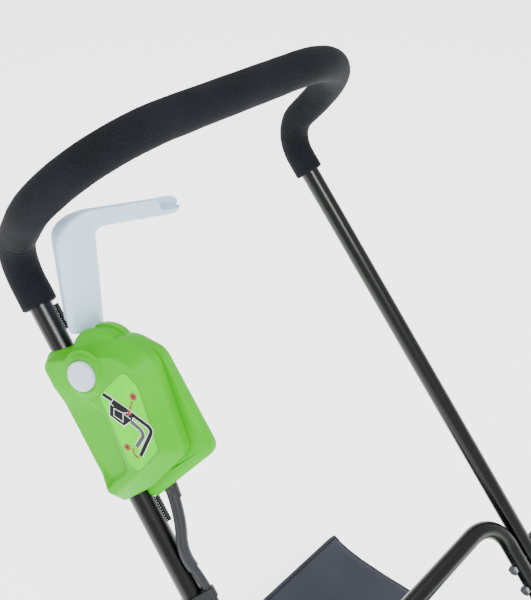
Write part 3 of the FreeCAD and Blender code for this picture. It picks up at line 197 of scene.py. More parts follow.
# ---- wheels and catcher
WHEEL_R = 105.0
WHEEL_IN = 262.0  # inner side of the wheel from the middle
WHEEL_WIDTH = 38.0
TYRE_DEPTH = 12.0
TYRE_LUGS = 40
TYRE_STEPS = 360
LUG_GROOVE = 3.0
LUG_SLANT = 0.055  # of a lug's pitch for each millimetre from the middle
CENTRE_RIB_HALF = 3.2
GROOVE_START = 0.28  # share of a lug's pitch from the lug's middle
GROOVE_FLANK = 0.1
TYRE_CLEARANCE = 0.15
TYRE_SECTION = (  # across the tread, and up from its crown
    (0.0, -10.5), (0.0, -6.0), (0.6, -3.0), (2.4, -0.9), (5.0, 0.0), (9.5, 0.0), (10.0, 0.0),
    (15.5, 0.0), (16.5, 0.0), (21.5, 0.0), (22.5, 0.0), (28.0, 0.0), (28.5, 0.0), (33.0, 0.0),
    (35.6, -0.9), (37.4, -3.0), (38.0, -6.0), (38.0, -10.5),
)
AXLE = (331.5, 105.0)  # y and z
REEL = (270.0, 100.0)
BLADE_EDGE = (0.0595, 0.0605)  # metres from the reel's axis where paint turns to ground steel
MOUTH_Y = 136.0
REAR_Y = -226.0
MOUTH = (200.0, 54.0, 196.0)  # half width, low and high
REAR = (150.0, 30.0, 170.0)
BAG_CORNER = 20.0
BAG_DROOP = 30.0  # how far the top edge hangs below its rear corner
DROOP_LENGTH = 35.0
TOP_SAG = (5.0, 7.0, 2.2)  # even sag, and how much the folds and the creases add
SIDE_SAG = (3.0, 5.0, 2.0)
BACK_BELLY = 2.4
BACK_WAVE = 3.0
CORNER_STEPS = 6
ACROSS_STEPS = 26
UPRIGHT_STEPS = 12
LENGTH_STEPS = 72
BACK_STEPS = 14
CLOTH_THICKNESS = 1.4
PIPING_R = 1.5
HEM_RINGS = ((0.0, 0.0), (0.0, 1.1), (19.0, 1.1), (20.0, 0.4))  # behind the mouth, proud

# ---- materials: grain scales for each metre
COAT_ROUGHNESS = 0.12
FOAM_CELLS = 950.0
THREADS = 200.0
WHITE = (1.0, 1.0, 1.0, 1.0)

# ---- floor, light and camera, in metres
FLOOR_SIZE = 12.0
FLOOR_GLOW = 2.4  # a lit table, so that the floor stays pale under the machine
SKY_STRENGTH = 1.0
LAMPS = (  # name, place, aim, size, power
    ("key", (0.6, 1.6, 2.9), (0, -0.1, 0.5), 1.2, 72),
    ("fill", (2.4, -0.6, 1.6), (0, -0.2, 0.6), 1.4, 12),
    ("top", (-0.5, -0.8, 3.2), (0, -0.2, 0.5), 1.8, 26),
)
CAMERA_PLACE = (0.45948, 0.21756, 1.30210)
CAMERA_RIGHT = Vector((-0.7170, 0.6971, 0.0))
CAMERA_UP = Vector((-0.4361, -0.4485, 0.7801))
LENS = 42.775
SENSOR = 36.0


# -------- places
def on_handle(x, down, out=0.0):
    return Vector((
        x,
        KINK_Y + out * math.sin(LEAN) + down * math.cos(LEAN),
        KINK_Z + out * math.cos(LEAN) - down * math.sin(LEAN),
    ))


def upper_x(down):
    return KINK_HALF_WIDTH + down * math.tan(SPLAY)


def box_frame():
    up = (on_handle(upper_x(0), 0) - on_handle(upper_x(1), 1)).normalized()
    front = Vector((0, math.sin(LEAN), math.cos(LEAN)))
    inward = up.cross(front).normalized()
    across = inward * math.cos(BOX_TURN) + front * math.sin(BOX_TURN)
    return on_handle(upper_x(BOX_DOWN), BOX_DOWN), across, up, across.cross(up)


BOX_ORIGIN, BOX_ACROSS, BOX_UP, BOX_OUT = box_frame()


def in_box(x, y, z):
    return BOX_ORIGIN + BOX_ACROSS * x + BOX_UP * y + BOX_OUT * z


def smooth_step(t):
    t = min(max(t, 0.0), 1.0)
    return t * t * (3 - 2 * t)


# -------- outlines and paths
def arc_points(before, corner, after, radius, steps):
    """Points on the arc that rounds one corner."""
    back = (before - corner).normalized()
    ahead = (after - corner).normalized()
    half = back.angle(ahead) / 2
    centre = corner + (back + ahead).normalized() * (radius / math.sin(half))
    start = corner + back * (radius / math.tan(half)) - centre
    end = corner + ahead * (radius / math.tan(half)) - centre
    whole = start.angle(end)
    points = []
    for k in range(steps + 1):
        turn = whole * k / steps
        mix = (start * math.sin(whole - turn) + end * math.sin(turn)) / math.sin(whole)
        points.append(centre + mix)
    return points


def outline(corners, arc_steps=9, side_steps=7):
    """Points round a closed outline of (x, y, radius) corners."""
    spots = [Vector((x, y, 0)) for x, y, _ in corners]
    count = len(corners)
    arcs = [
        arc_points(spots[k - 1], spots[k], spots[(k + 1) % count], corners[k][2], arc_steps)
        for k in range(count)
    ]
    points = []
    for arc, following in zip(arcs, arcs[1:] + arcs[:1]):
        points += arc
        points += [arc[-1].lerp(following[0], s / side_steps) for s in range(1, side_steps)]
    return points


def rounded_path(corners, radii, step):
    """Points along straight runs and arcs, about a step apart."""
    points = [corners[0]]
    for before, corner, after, radius in zip(corners, corners[1:], corners[2:], radii):
        turn = math.pi - (before - corner).angle(after - corner)
        arc = arc_points(before, corner, after, radius, max(6, round(radius * turn / step)))
        points += run_points(points[-1], arc[0], step)
        points += arc[1:]
    return points + run_points(points[-1], corners[-1], step)


def run_points(start, end, step):
    count = max(1, round((end - start).length / step))
    return [start.lerp(end, k / count) for k in range(1, count + 1)]


def depth_inside(x, y, polygon):
    """Distance from the polygon's edge, positive inside it."""
    nearest = 1e9
    inside = False
    for (ax, ay), (bx, by) in zip(polygon, polygon[1:] + polygon[:1]):
        along = ((x - ax) * (bx - ax) + (y - ay) * (by - ay)) / ((bx - ax) ** 2 + (by - ay) ** 2)
        along = min(max(along, 0.0), 1.0)
        nearest = min(nearest, math.hypot(x - ax - along * (bx - ax), y - ay - along * (by - ay)))
        if (ay > y) != (by > y) and x < ax + (y - ay) * (bx - ax) / (by - ay):
            inside = not inside
    return nearest if inside else -nearest


# -------- meshes
def new_object(name, data):
    thing = bpy.data.objects.new(name, data)
    bpy.context.scene.collection.objects.link(thing)
    return thing


def evaluated_mesh(thing):
    """The mesh that a curve, or a mesh with modifiers, comes out as."""
    bpy.context.view_layer.update()
    ready = thing.evaluated_get(bpy.context.evaluated_depsgraph_get())
    return bpy.data.meshes.new_from_object(ready)


def make_mesh(name, points, faces, sharp=38):
    mesh = bpy.data.meshes.new(name)
    mesh.from_pydata([p * MM for p in points], [], faces)
    shaper = bmesh.new()
    shaper.from_mesh(mesh)
    bmesh.ops.remove_doubles(shaper, verts=shaper.verts, dist=1e-6)
    bmesh.ops.recalc_face_normals(shaper, faces=shaper.faces)
    shaper.to_mesh(mesh)
    shaper.free()
    mesh.shade_smooth()
    mesh.set_sharp_from_angle(angle=math.radians(sharp))
    return new_object(name, mesh)


def ring_faces(rings, around, start_cap=True, end_cap=True, closed=False):
    """Quads between successive rings of the same count, and one face across each open end."""
    faces = []
    for k in range(rings - (0 if closed else 1)):
        here = k * around
        there = ((k + 1) % rings) * around
        for j in range(around):
            after = (j + 1) % around
            faces.append((here + j, here + after, there + after, there + j))
    if start_cap and not closed:
        faces.append(tuple(range(around)))
    if end_cap and not closed:
        faces.append(tuple(range((rings - 1) * around, rings * around)))
    return faces


def stacked(name, rings, sharp=38, **caps):
    points = [p for ring in rings for p in ring]
    return make_mesh(name, points, ring_faces(len(rings), len(rings[0]), **caps), sharp)


def revolved(name, profile, spot, sharp, closed=False):
    """A turned piece of the switch box: (radius, height) pairs round a spot on its face."""
    turns = [2 * math.pi * k / TURNED_STEPS for k in range(TURNED_STEPS)]
    rings = [
        [in_box(spot[0] + radius * math.cos(t), spot[1] + radius * math.sin(t), height) for t in turns]
        for radius, height in profile
    ]
    return stacked(name, rings, sharp, closed=closed)


def path_frames(path):
    """A pair of axes across the path at each point, that never twists."""
    frames = []
    side = None
    for k, point in enumerate(path):
        along = (path[min(k + 1, len(path) - 1)] - path[max(k - 1, 0)]).normalized()
        if side is None:
            side = along.orthogonal().normalized()
        side = (side - along * side.dot(along)).normalized()
        frames.append((point, side, along.cross(side)))
    return frames


def tube_rings(path, radii, around):
    """A ring of points round each place on a path, with a radius for each."""
    turns = [2 * math.pi * k / around for k in range(around)]
    return [
        [point + (side * math.cos(t) + other * math.sin(t)) * radius for t in turns]
        for (point, side, other), radius in zip(path_frames(path), radii)
    ]


def finished(piece, body, material):
    piece.data.materials.clear()
    piece.data.materials.append(material)
    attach(piece, body)
    return piece


# -------- materials
def srgb(red, green, blue):
    """Linear colour of an 8-bit screen colour."""
    return tuple((channel / 255) ** 2.2 for channel in (red, green, blue)) + (1.0,)


def new_material(name):
    material = bpy.data.materials.new(name)
    material.use_nodes = True
    return material, material.node_tree, material.node_tree.nodes["Principled BSDF"]


def set_inputs(node, **values):
    """Fills inputs by name, with an underscore for each space."""
    for name, value in values.items():
        node.inputs[name.replace("_", " ")].default_value = value


def noise_node(tree, scale, detail=4.0, stretch=None):
    """A noise texture in the object's own space, stretched where the grain runs."""
    coords = tree.nodes.new("ShaderNodeTexCoord")
    texture = tree.nodes.new("ShaderNodeTexNoise")
    set_inputs(texture, Scale=scale, Detail=detail)
    source = coords.outputs["Object"]
    if stretch:
        mapping = tree.nodes.new("ShaderNodeMapping")
        set_inputs(mapping, Scale=stretch)
        tree.links.new(source, mapping.inputs["Vector"])
        source = mapping.outputs["Vector"]
    tree.links.new(source, texture.inputs["Vector"])
    return texture


def mapped(tree, source, low, high, start=0.3, end=0.7):
    node = tree.nodes.new("ShaderNodeMapRange")
    set_inputs(node, From_Min=start, From_Max=end, To_Min=low, To_Max=high)
    tree.links.new(source, node.inputs["Value"])
    return node.outputs["Result"]


def mixed(tree, factor, first, second):
    """A blend of two colours; 6, 7 and 2 are the Mix node's colour sockets."""
    node = tree.nodes.new("ShaderNodeMix")
    node.data_type = "RGBA"
    tree.links.new(factor, node.inputs["Factor"])
    for socket, colour in ((node.inputs[6], first), (node.inputs[7], second)):
        if isinstance(colour, tuple):
            socket.default_value = colour
        else:
            tree.links.new(colour, socket)
    return node.outputs[2]


def bumped(tree, shader, height, strength, distance):
    bump = tree.nodes.new("ShaderNodeBump")
    set_inputs(bump, Strength=strength, Distance=distance)
    tree.links.new(height, bump.inputs["Height"])
    tree.links.new(bump.outputs["Normal"], shader.inputs["Normal"])


def surface(name, first, second, roughness, metallic=0.0, mottle=18.0, grain=900.0,
            depth=0.00003, stretch=None, coat=0.0, specular=0.5):
    """Mottled colour between two tones, uneven roughness and a fine grain."""
    material, tree, shader = new_material(name)
    clouds = noise_node(tree, mottle)
    blend = mapped(tree, clouds.outputs["Fac"], 0.0, 1.0)
    tree.links.new(mixed(tree, blend, first, second), shader.inputs["Base Color"])
    fine = noise_node(tree, grain, 3.0, stretch)
    rough = mapped(tree, fine.outputs["Fac"], roughness[0], roughness[1])
    tree.links.new(rough, shader.inputs["Roughness"])
    set_inputs(shader, Metallic=metallic, Coat_Weight=coat, Coat_Roughness=COAT_ROUGHNESS,
               Specular_IOR_Level=specular)
    bumped(tree, shader, fine.outputs["Fac"], 0.5, depth)
    return material


def foam_material():
    """Closed-cell foam: dark, matt, with small pores and lighter dust."""
    material, tree, shader = new_material("foam_cells")
    cells = tree.nodes.new("ShaderNodeTexVoronoi")
    set_inputs(cells, Scale=FOAM_CELLS)
    coords = tree.nodes.new("ShaderNodeTexCoord")
    tree.links.new(coords.outputs["Object"], cells.inputs["Vector"])
    clouds = noise_node(tree, 26.0, 6.0)
    wide = mapped(tree, clouds.outputs["Fac"], 0.0, 1.0, 0.35, 0.75)
    base = mixed(tree, wide, srgb(9, 10, 13), srgb(21, 23, 28))
    pores = mapped(tree, cells.outputs["Distance"], 0.0, 0.55, 0.35, 0.75)
    tree.links.new(mixed(tree, pores, base, srgb(30, 33, 40)), shader.inputs["Base Color"])
    set_inputs(shader, Roughness=0.86, Specular_IOR_Level=0.2)
    bumped(tree, shader, cells.outputs["Distance"], 0.6, 0.00025)
    return material


def fabric_material():
    """Coated polyester cloth: crossed threads at 1.6 mm, a little sheen."""
    material, tree, shader = new_material("catcher_weave")
    coords = tree.nodes.new("ShaderNodeTexCoord")
    threads = []
    for direction in ("X", "Y"):
        wave = tree.nodes.new("ShaderNodeTexWave")
        wave.bands_direction = direction
        set_inputs(wave, Scale=THREADS, Distortion=0.6)
        tree.links.new(coords.outputs["UV"], wave.inputs["Vector"])
        threads.append(wave.outputs["Fac"])
    weave = tree.nodes.new("ShaderNodeMath")
    weave.operation = "MULTIPLY"
    tree.links.new(threads[0], weave.inputs[0])
    tree.links.new(threads[1], weave.inputs[1])
    base = mixed(tree, weave.outputs["Value"], srgb(20, 24, 34), srgb(66, 72, 92))
    dust = noise_node(tree, 7.0)
    tone = mapped(tree, dust.outputs["Fac"], 0.0, 0.25)
    tree.links.new(mixed(tree, tone, base, srgb(74, 76, 84)), shader.inputs["Base Color"])
    set_inputs(shader, Roughness=0.72, Sheen_Weight=0.25)
    bumped(tree, shader, weave.outputs["Value"], 0.7, 0.0004)
    return material


def ground_steel():
    """Reel blades: painted dark near the shaft, ground bright along the cutting edge."""
    material, tree, shader = new_material("ground_blades")
    coords = tree.nodes.new("ShaderNodeTexCoord")
    parts = tree.nodes.new("ShaderNodeSeparateXYZ")
    tree.links.new(coords.outputs["Object"], parts.inputs["Vector"])
    centred = tree.nodes.new("ShaderNodeCombineXYZ")
    for axis, centre in (("Y", REEL[0]), ("Z", REEL[1])):
        shift = tree.nodes.new("ShaderNodeMath")
        shift.operation = "SUBTRACT"
        shift.inputs[1].default_value = centre * MM
        tree.links.new(parts.outputs[axis], shift.inputs[0])
        tree.links.new(shift.outputs["Value"], centred.inputs[axis])
    length = tree.nodes.new("ShaderNodeVectorMath")
    length.operation = "LENGTH"
    tree.links.new(centred.outputs["Vector"], length.inputs[0])
    edge = mapped(tree, length.outputs["Value"], 0.0, 1.0, *BLADE_EDGE)
    scratches = noise_node(tree, 420.0, 5.0, (8.0, 1.0, 1.0))
    bright = mixed(tree, scratches.outputs["Fac"], srgb(150, 152, 156), srgb(214, 216, 220))
    tree.links.new(mixed(tree, edge, srgb(40, 60, 40), bright), shader.inputs["Base Color"])
    tree.links.new(edge, shader.inputs["Metallic"])
    rough = mapped(tree, scratches.outputs["Fac"], 0.22, 0.42)
    tree.links.new(rough, shader.inputs["Roughness"])
    bumped(tree, shader, scratches.outputs["Fac"], 0.4, 0.00004)
    return material


GREEN = surface("green_shell", srgb(60, 168, 0), srgb(66, 178, 0), (0.4, 0.5), grain=1500.0,
                specular=0.16)
LABEL_GREEN = surface("label_film", srgb(76, 212, 0), srgb(84, 222, 0), (0.34, 0.4), specular=0.06)
LEVER_GREY = surface("lever_plastic", srgb(184, 211, 232), srgb(194, 220, 240), (0.38, 0.46),
                      grain=1600.0, specular=0.3)
BUTTON_BLUE = surface("button_plastic", srgb(194, 209, 229), srgb(206, 221, 238), (0.4, 0.48), grain=1600.0)
FOAM = foam_material()
FABRIC = fabric_material()
# painted shade: a darker green band round the label, standing in for the shade in the groove round it
LABEL_GROOVE_SHADE = surface("label_groove_painted_shade", srgb(44, 130, 10), srgb(52, 142, 16), (0.35, 0.45))
RED_INK = surface("red_ink", srgb(132, 0, 0), srgb(146, 4, 2), (0.35, 0.45))
BLACK_INK = surface("black_ink", srgb(8, 12, 10), srgb(14, 20, 16), (0.35, 0.45), specular=0.15)
WHITE_INK = surface("white_ink", srgb(216, 226, 228), srgb(240, 246, 248), (0.35, 0.45))
GREY_INK = surface("grey_ink", srgb(34, 56, 42), srgb(44, 68, 52), (0.35, 0.45))
RUBBER = surface("cable_rubber", srgb(22, 24, 28), srgb(34, 37, 44), (0.42, 0.55), grain=700.0)
TYRE = surface("tyre_rubber", srgb(26, 26, 27), srgb(40, 40, 40), (0.7, 0.85), grain=500.0, depth=0.00012)
BLACK_MOULD = surface("black_moulding", srgb(20, 21, 23), srgb(30, 31, 34), (0.4, 0.55), grain=1300.0,
                      depth=0.00006)
PIPING = surface("seam_piping", srgb(16, 17, 20), srgb(26, 28, 32), (0.55, 0.7), grain=800.0)

SLOT_MATERIALS = {
    "tube_black": surface("powder_black", srgb(4, 4, 6), srgb(8, 8, 11), (0.26, 0.36), coat=0.15,
                          grain=1100.0, depth=0.00002, specular=0.3),
    "foam": FOAM,
    "box_green": GREEN,
    "label": LABEL_GREEN,
    "pale_plastic": LEVER_GREY,
    "black_plastic": BLACK_MOULD,
    "steel": surface("zinc_steel", srgb(168, 170, 174), srgb(196, 198, 203), (0.28, 0.45), metallic=1.0,
                     stretch=(1.0, 1.0, 0.2)),
    "spring_steel": surface("spring_wire", srgb(140, 142, 148), srgb(180, 182, 188), (0.25, 0.4),
                            metallic=1.0),
    "blade_steel": ground_steel(),
    "plate_paint": surface("plate_paint", srgb(24, 25, 28), srgb(34, 36, 40), (0.35, 0.5), coat=0.25,
                           grain=600.0, depth=0.00008),
    "cable": RUBBER,
    "tyre": TYRE,
    "belt": surface("belt_rubber", srgb(30, 28, 26), srgb(44, 41, 38), (0.6, 0.75), stretch=(4.0, 1.0, 1.0)),
    "fabric": FABRIC,
    "motor": surface("motor_can", srgb(118, 120, 124), srgb(142, 144, 148), (0.35, 0.5), metallic=0.9,
                     stretch=(6.0, 1.0, 1.0)),
}


def paint_cad_nodes():
    """Every node of the CAD model takes the material of its slot."""
    for part in frame["record"]["subparts"]:
        node = NODES[part["node"]]
        material = SLOT_MATERIALS[part["material_slot"]]
        if not node.material_slots:
            node.data.materials.append(material)
        for place in node.material_slots:
            place.material = material


# -------- grip
def grip_path():
    rise = GRIP_REACH * math.cos(KINK)
    out = GRIP_REACH * math.sin(KINK)
    right = [
        on_handle(upper_x(FOAM_BELOW_KINK), FOAM_BELOW_KINK),
        on_handle(KINK_HALF_WIDTH, 0),
        on_handle(KINK_HALF_WIDTH, -rise, out),
    ]
    left = [Vector((-p.x, p.y, p.z)) for p in reversed(right)]
    return rounded_path(right + left, [KINK_R, GRIP_CORNER_R, GRIP_CORNER_R, KINK_R], FOAM_STEP)


def foam_radius(point, outward, bend, from_end):
    """The sleeve's radius in one direction, with its lumps and the creases inside a bend."""
    lumps = noise.noise(point * LUMP_SCALE + outward * 1.3) * FOAM_LUMP
    crease = 0
    if bend.length > 0.4:
        crease = min(bend.length / 4, 1.0) * max(outward.dot(bend.normalized()), 0)
    folds = crease * CREASE_DEPTH * math.sin(from_end * 0.9 + noise.noise(point * 0.05) * 2)
    return FOAM_R - FOAM_SKIN + lumps + folds


def end_rounding(ring, centre, inner):
    """Smaller rings that turn the sleeve's edge in to the tube, from the edge inwards."""
    along = (inner - centre).normalized()
    return [
        [centre + (p - centre) * scale + along * way_in for p in ring]
        for scale, way_in in FOAM_END
    ]


def foam_grip():
    """Foam sleeve pushed over the loop: soft ends, faint lumps, and creases inside the kinks."""
    path = grip_path()
    last = len(path) - 1
    rings = []
    for k, (point, side, other) in enumerate(path_frames(path)):
        from_end = min((point - path[0]).length, (point - path[last]).length)
        bend = path[min(k + CREASE_SPAN, last)] + path[max(k - CREASE_SPAN, 0)] - 2 * point
        ring = []
        for j in range(FOAM_AROUND):
            turn = 2 * math.pi * j / FOAM_AROUND
            outward = side * math.cos(turn) + other * math.sin(turn)
            ring.append(point + outward * foam_radius(point, outward, bend, from_end))
        rings.append(ring)
    first_end = end_rounding(rings[0], path[0], path[1])
    last_end = end_rounding(rings[-1], path[-1], path[-2])
    rings = first_end + rings[1:-1] + last_end[::-1]
    grip = finished(stacked("foam_grip", rings, 60), "upper_handle", FOAM)
    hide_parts("grip_foam")


# -------- switch box
def face_height(x, y):
    """The face's depth, with its sunk part and a slight crown."""
    sunk = smooth_step(depth_inside(x, y, LOWERED) / STEP_WIDTH + 0.5)
    return FACE_Z - LOWERED_BY * sunk


def inset(points, amount):
    """The outline moved in by an amount, along its own normals."""
    moved = []
    count = len(points)
    for k, point in enumerate(points):
        along = points[(k + 1) % count] - points[k - 1]
        inward = Vector((along.y, -along.x, 0)).normalized()
        moved.append(point + inward * amount)
    return moved


def front_shell():
    """An upright wall, a slope, and the face with its sunk part."""
    rim = outline(FRONT_RIM)
    face = outline(FRONT_FACE)
    levels = [
        (rim, 0.0, 0.8), (rim, 0.6, 0.0), (rim, FRONT_SHOULDER - 1.6, 0.0),
        (rim, FRONT_SHOULDER, 0.35), (rim, FRONT_SHOULDER + 1.0, 1.3),
    ]
    rings = [[(p.x, p.y, height) for p in inset(base, move)] for base, height, move in levels]
    for share in (0.25, 0.5, 0.75):
        height = FRONT_SHOULDER + 1 + (FACE_Z - FRONT_SHOULDER - 2.2) * share
        spots = [a.lerp(b, share) for a, b in zip(inset(rim, 1.3), inset(face, -0.6))]
        rings.append([(spot.x, spot.y, height) for spot in spots])
    rings.append([(p.x, p.y, FACE_Z - 1.2) for p in inset(face, -0.6)])
    rings.append([(p.x, p.y, FACE_Z - 0.35) for p in inset(face, 0.1)])
    edge = inset(face, 1.1)
    for k in range(FACE_RINGS):
        share = 1 - (k / FACE_RINGS) ** 1.15
        spots = [FACE_CENTRE.lerp(p, share) for p in edge]
        rings.append([(spot.x, spot.y, FACE_Z) for spot in spots])
    placed = [[in_box(x, y, min(z, face_height(x, y))) for x, y, z in ring] for ring in rings]
    shell = finished(stacked("box_front_shell", placed, 50), "upper_handle", GREEN)
    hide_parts("switch_box_front")


def rear_shell():
    """Flush with the front shell at the top, with a rounded ledge under it lower down."""
    rim = outline(REAR_RIM)
    face = outline(REAR_FACE)
    rounding = (
        (9.0, PARTING_Z), (6.0, PARTING_Z), (3.4, -0.7), (1.4, -2.2), (0.3, -4.4), (0.0, -6.5),
    )
    rings = []
    for move, height in rounding:
        ring = []
        for still, moved in zip(rim, inset(rim, move)):
            ledge = 0.1 + 0.9 * smooth_step((LEDGE_TOP - still.y) / LEDGE_FADE)
            spot = still.lerp(moved, ledge)
            ring.append(in_box(spot.x, spot.y, PARTING_Z + (height - PARTING_Z) * ledge))
        rings.append(ring)
    back = [
        (rim, REAR_SHOULDER), (inset(rim, 0.5), REAR_SHOULDER - 1.5),
        (inset(face, -0.8), REAR_Z + 1.8), (face, REAR_Z + 0.5), (inset(face, 1.2), REAR_Z),
    ]
    rings += [[in_box(p.x, p.y, height) for p in ring] for ring, height in back]
    shell = finished(stacked("box_rear_shell", rings, 50), "upper_handle", GREEN)
    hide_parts("switch_box_rear")


def drum():
    """Two cheeks and the narrower core between them, where the lever turns."""
    profile = [
        (0.01, DRUM_FRONT), (DRUM_R - 4.6, DRUM_FRONT), (DRUM_R - 3.6, DRUM_FRONT - 0.4),
        (DRUM_R - 0.6, DRUM_FRONT - 3.2), (DRUM_R, DRUM_FRONT - 4.4), (DRUM_R, SLOT_HALF + 0.7),
        (DRUM_R - 0.7, SLOT_HALF), (DRUM_R - 2.5, SLOT_HALF), (DRUM_R - 2.5, -SLOT_HALF),
        (DRUM_R - 0.7, -SLOT_HALF), (DRUM_R, -SLOT_HALF - 0.7), (DRUM_R, DRUM_BACK + 3),
        (DRUM_R - 1, DRUM_BACK + 0.8), (DRUM_R - 3, DRUM_BACK), (0.01, DRUM_BACK),
    ]
    finished(revolved("lever_drum", profile, DRUM, 30), "upper_handle", GREEN)


def collar_and_button():
    """The button's cap over its spring, in a collar that swells out of the face."""
    collar = [
        (COLLAR_R + 5, FACE_Z - 0.6), (COLLAR_R + 2.8, FACE_Z + 0.25), (COLLAR_R + 1.2, FACE_Z + 0.7),
        (COLLAR_R + 0.2, FACE_Z + 1.6), (COLLAR_R - 0.3, FACE_Z + 2.6), (COLLAR_R - 1.6, COLLAR_TOP + 0.4),
        (COLLAR_R - 3.2, COLLAR_TOP + 0.6), (BUTTON_R + 0.9, COLLAR_TOP), (BUTTON_R + 0.35, COLLAR_TOP - 0.8),
        (BUTTON_R + 0.35, COLLAR_FOOT), (COLLAR_R, COLLAR_FOOT),
    ]
    ring = revolved("button_collar", collar, BUTTON, 60, closed=True)
    finished(ring, "upper_handle", GREEN)
    cap = [
        (0.01, BUTTON_TOP - 3), (SPRING_ROOM_R, BUTTON_TOP - 3), (SPRING_ROOM_R, BUTTON_FOOT),
        (BUTTON_R, BUTTON_FOOT), (BUTTON_R, BUTTON_TOP - 2.2),
        (BUTTON_R - 0.25, BUTTON_TOP - 1.3), (BUTTON_R - 0.9, BUTTON_TOP - 0.6),
        (BUTTON_R - 1.9, BUTTON_TOP - 0.3), (BUTTON_R - 2.3, BUTTON_TOP - 0.42),
        (BUTTON_R - 5, BUTTON_TOP - 0.2), (BUTTON_R - 10, BUTTON_TOP - 0.05), (0.01, BUTTON_TOP),
    ]
    button = finished(revolved("button_cap", cap, BUTTON, 50), "button", BUTTON_BLUE)
    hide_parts("start_button")


# -------- pictogram on the label
def flat_shape(name, spots, material, layer=INK_LAYER, low=LABEL_Z + INK_FOOT):
    """A thin flat shape, standing just proud of the label: print, or the darker band of painted shade round
    the label.
    """
    rings = [[in_box(x, y, z) for x, y in spots] for z in (low, LABEL_Z + layer)]
    return finished(stacked(name, rings, 20), "upper_handle", material)


def stroke(name, spots, width, material, layer=INK_LAYER):
    """A printed line of even width through the spots."""
    left = []
    right = []
    points = [Vector(spot) for spot in spots]
    for k, point in enumerate(points):
        before = (point - points[k - 1]).normalized() if k else None
        after = (points[k + 1] - point).normalized() if k + 1 < len(points) else before
        before = after if before is None else before
        along = (before + after).normalized()
        across = Vector((-along.y, along.x)) * (width / 2 / max(along.dot(before), 0.5))
        left.append(tuple(point + across))
        right.append(tuple(point - across))
    return flat_shape(name, left + right[::-1], material, layer)


def edged_stroke(name, spots, width, material):
    """A stroke with white showing along both its sides."""
    stroke(name + "_edge", spots, width + WHITE_EDGE, WHITE_INK, EDGE_LAYER)
    stroke(name, spots, width, material)


def round_spot(name, x, y, radius, material, layer):
    turns = [2 * math.pi * k / 28 for k in range(28)]
    spots = [(x + radius * math.cos(t), y + radius * math.sin(t)) for t in turns]
    return flat_shape(name, spots, material, layer)


def drawn_handle():
    """The handle's tube and the switch lever beside it."""
    lower_bar = [
        (70.9, -18.6), (80.4, -33), (82.9, -37), (83.4, -41), (81.6, -43.8), (76.9, -47), (55.1, -61.6),
    ]
    lever_line = [(65.1, -24.5), (70.6, -34.5), (71.8, -38.5), (71.4, -42), (69.5, -44.4), (56.1, -51.2)]
    edged_stroke("picture_bar", lower_bar, BAR_WIDTH, BLACK_INK)
    edged_stroke("picture_bar_top", [(48.7, 12.7), (56, 3.1)], BAR_WIDTH, BLACK_INK)
    edged_stroke("picture_lever", lever_line, DRAWN_LEVER_WIDTH, GREY_INK)


def drawn_box():
    """The switch box in white lines on black."""
    body = [(58.4, 3.2), (73.9, -18.5), (67.5, -23.8), (54.3, -26.2), (43.7, -10.4), (50.4, -0.5)]
    middle = Vector((58.5, -11.5))
    grown = [tuple(middle + (Vector(p) - middle) * 1.07) for p in body]
    flat_shape("picture_box_edge", grown, WHITE_INK, BOX_EDGE_LAYER)
    flat_shape("picture_box", body, BLACK_INK, BOX_LAYER)
    lines = (
        [(53.1, -5.3), (61.1, -13.8), (55.5, -22.1), (48.5, -12.1), (53.1, -5.3)],
        [(54, -3.3), (51.5, 1.5)],
        [(61.8, -13.8), (72.2, -16.7)],
        [(61.1, -13.8), (66.5, -22.5)],
    )
    for k, line in enumerate(lines):
        stroke(f"picture_line_{k}", line, 0.7, WHITE_INK, LINE_LAYER)


def drawn_moves():
    """Two red spots, a dashed arrow for the button and a curled one for the lever."""
    for name, x, y, radius, dot in (
            ("picture_step_one", 83, -2.6, 4.0, 1.1), ("picture_step_two", 44.6, -48, 3.7, 1.0)):
        round_spot(name, x, y, radius, RED_INK, RED_LAYER)
        round_spot(name + "_dot", x, y, dot, BLACK_INK, TOP_LAYER)
    start = Vector((79.0, -6.6))
    end = Vector((66.0, -17.2))
    for k in range(3):
        dash = [tuple(start.lerp(end, (k + s) / 3.2)) for s in (0.05, 0.78)]
        stroke(f"picture_dash_{k}", dash, 2.3, RED_INK, LINE_LAYER)
    flat_shape("picture_arrow", [(68.8, -12.6), (63.9, -18.9), (71.0, -18.2)], RED_INK, TOP_LAYER)
    curl = [(51, -51.1), (49.3, -53.6), (48.7, -56.6), (49.8, -60.7)]
    stroke("picture_curl", curl, 1.8, RED_INK, RED_LAYER)
    head = [(47.6, -60.9), (51.4, -59.4), (52.3, -64.0)]
    flat_shape("picture_curl_head", head, RED_INK, LINE_LAYER)


def pictogram():
    """A band of painted shade round the label, and a plain drawing of the handle, its switch box, lever and
    the two moves that start it.
    """
    # painted shade: a darker green band just outside the label, for the shade of the groove round it
    border = [(p.x, p.y) for p in inset(outline(LABEL), -LABEL_BORDER)]
    flat_shape("label_groove_shade_band", border, LABEL_GROOVE_SHADE, BORDER_LAYER, FACE_Z - 0.1)
    drawn_handle()
    drawn_box()
    drawn_moves()


# -------- lever
def lever_edge(corners, radius, counts):
    """One edge of the lever: a run, an arc and a run, each with a fixed number of steps."""
    base, corner, tip = [on_handle(*c) for c in corners]
    arc = arc_points(base, corner, tip, radius, counts[1])
    first = [base.lerp(arc[0], k / counts[0]) for k in range(counts[0])]
    last = [arc[-1].lerp(tip, 1 - (1 - (k + 1) / counts[2]) ** 1.7) for k in range(counts[2])]
    return first + arc + last


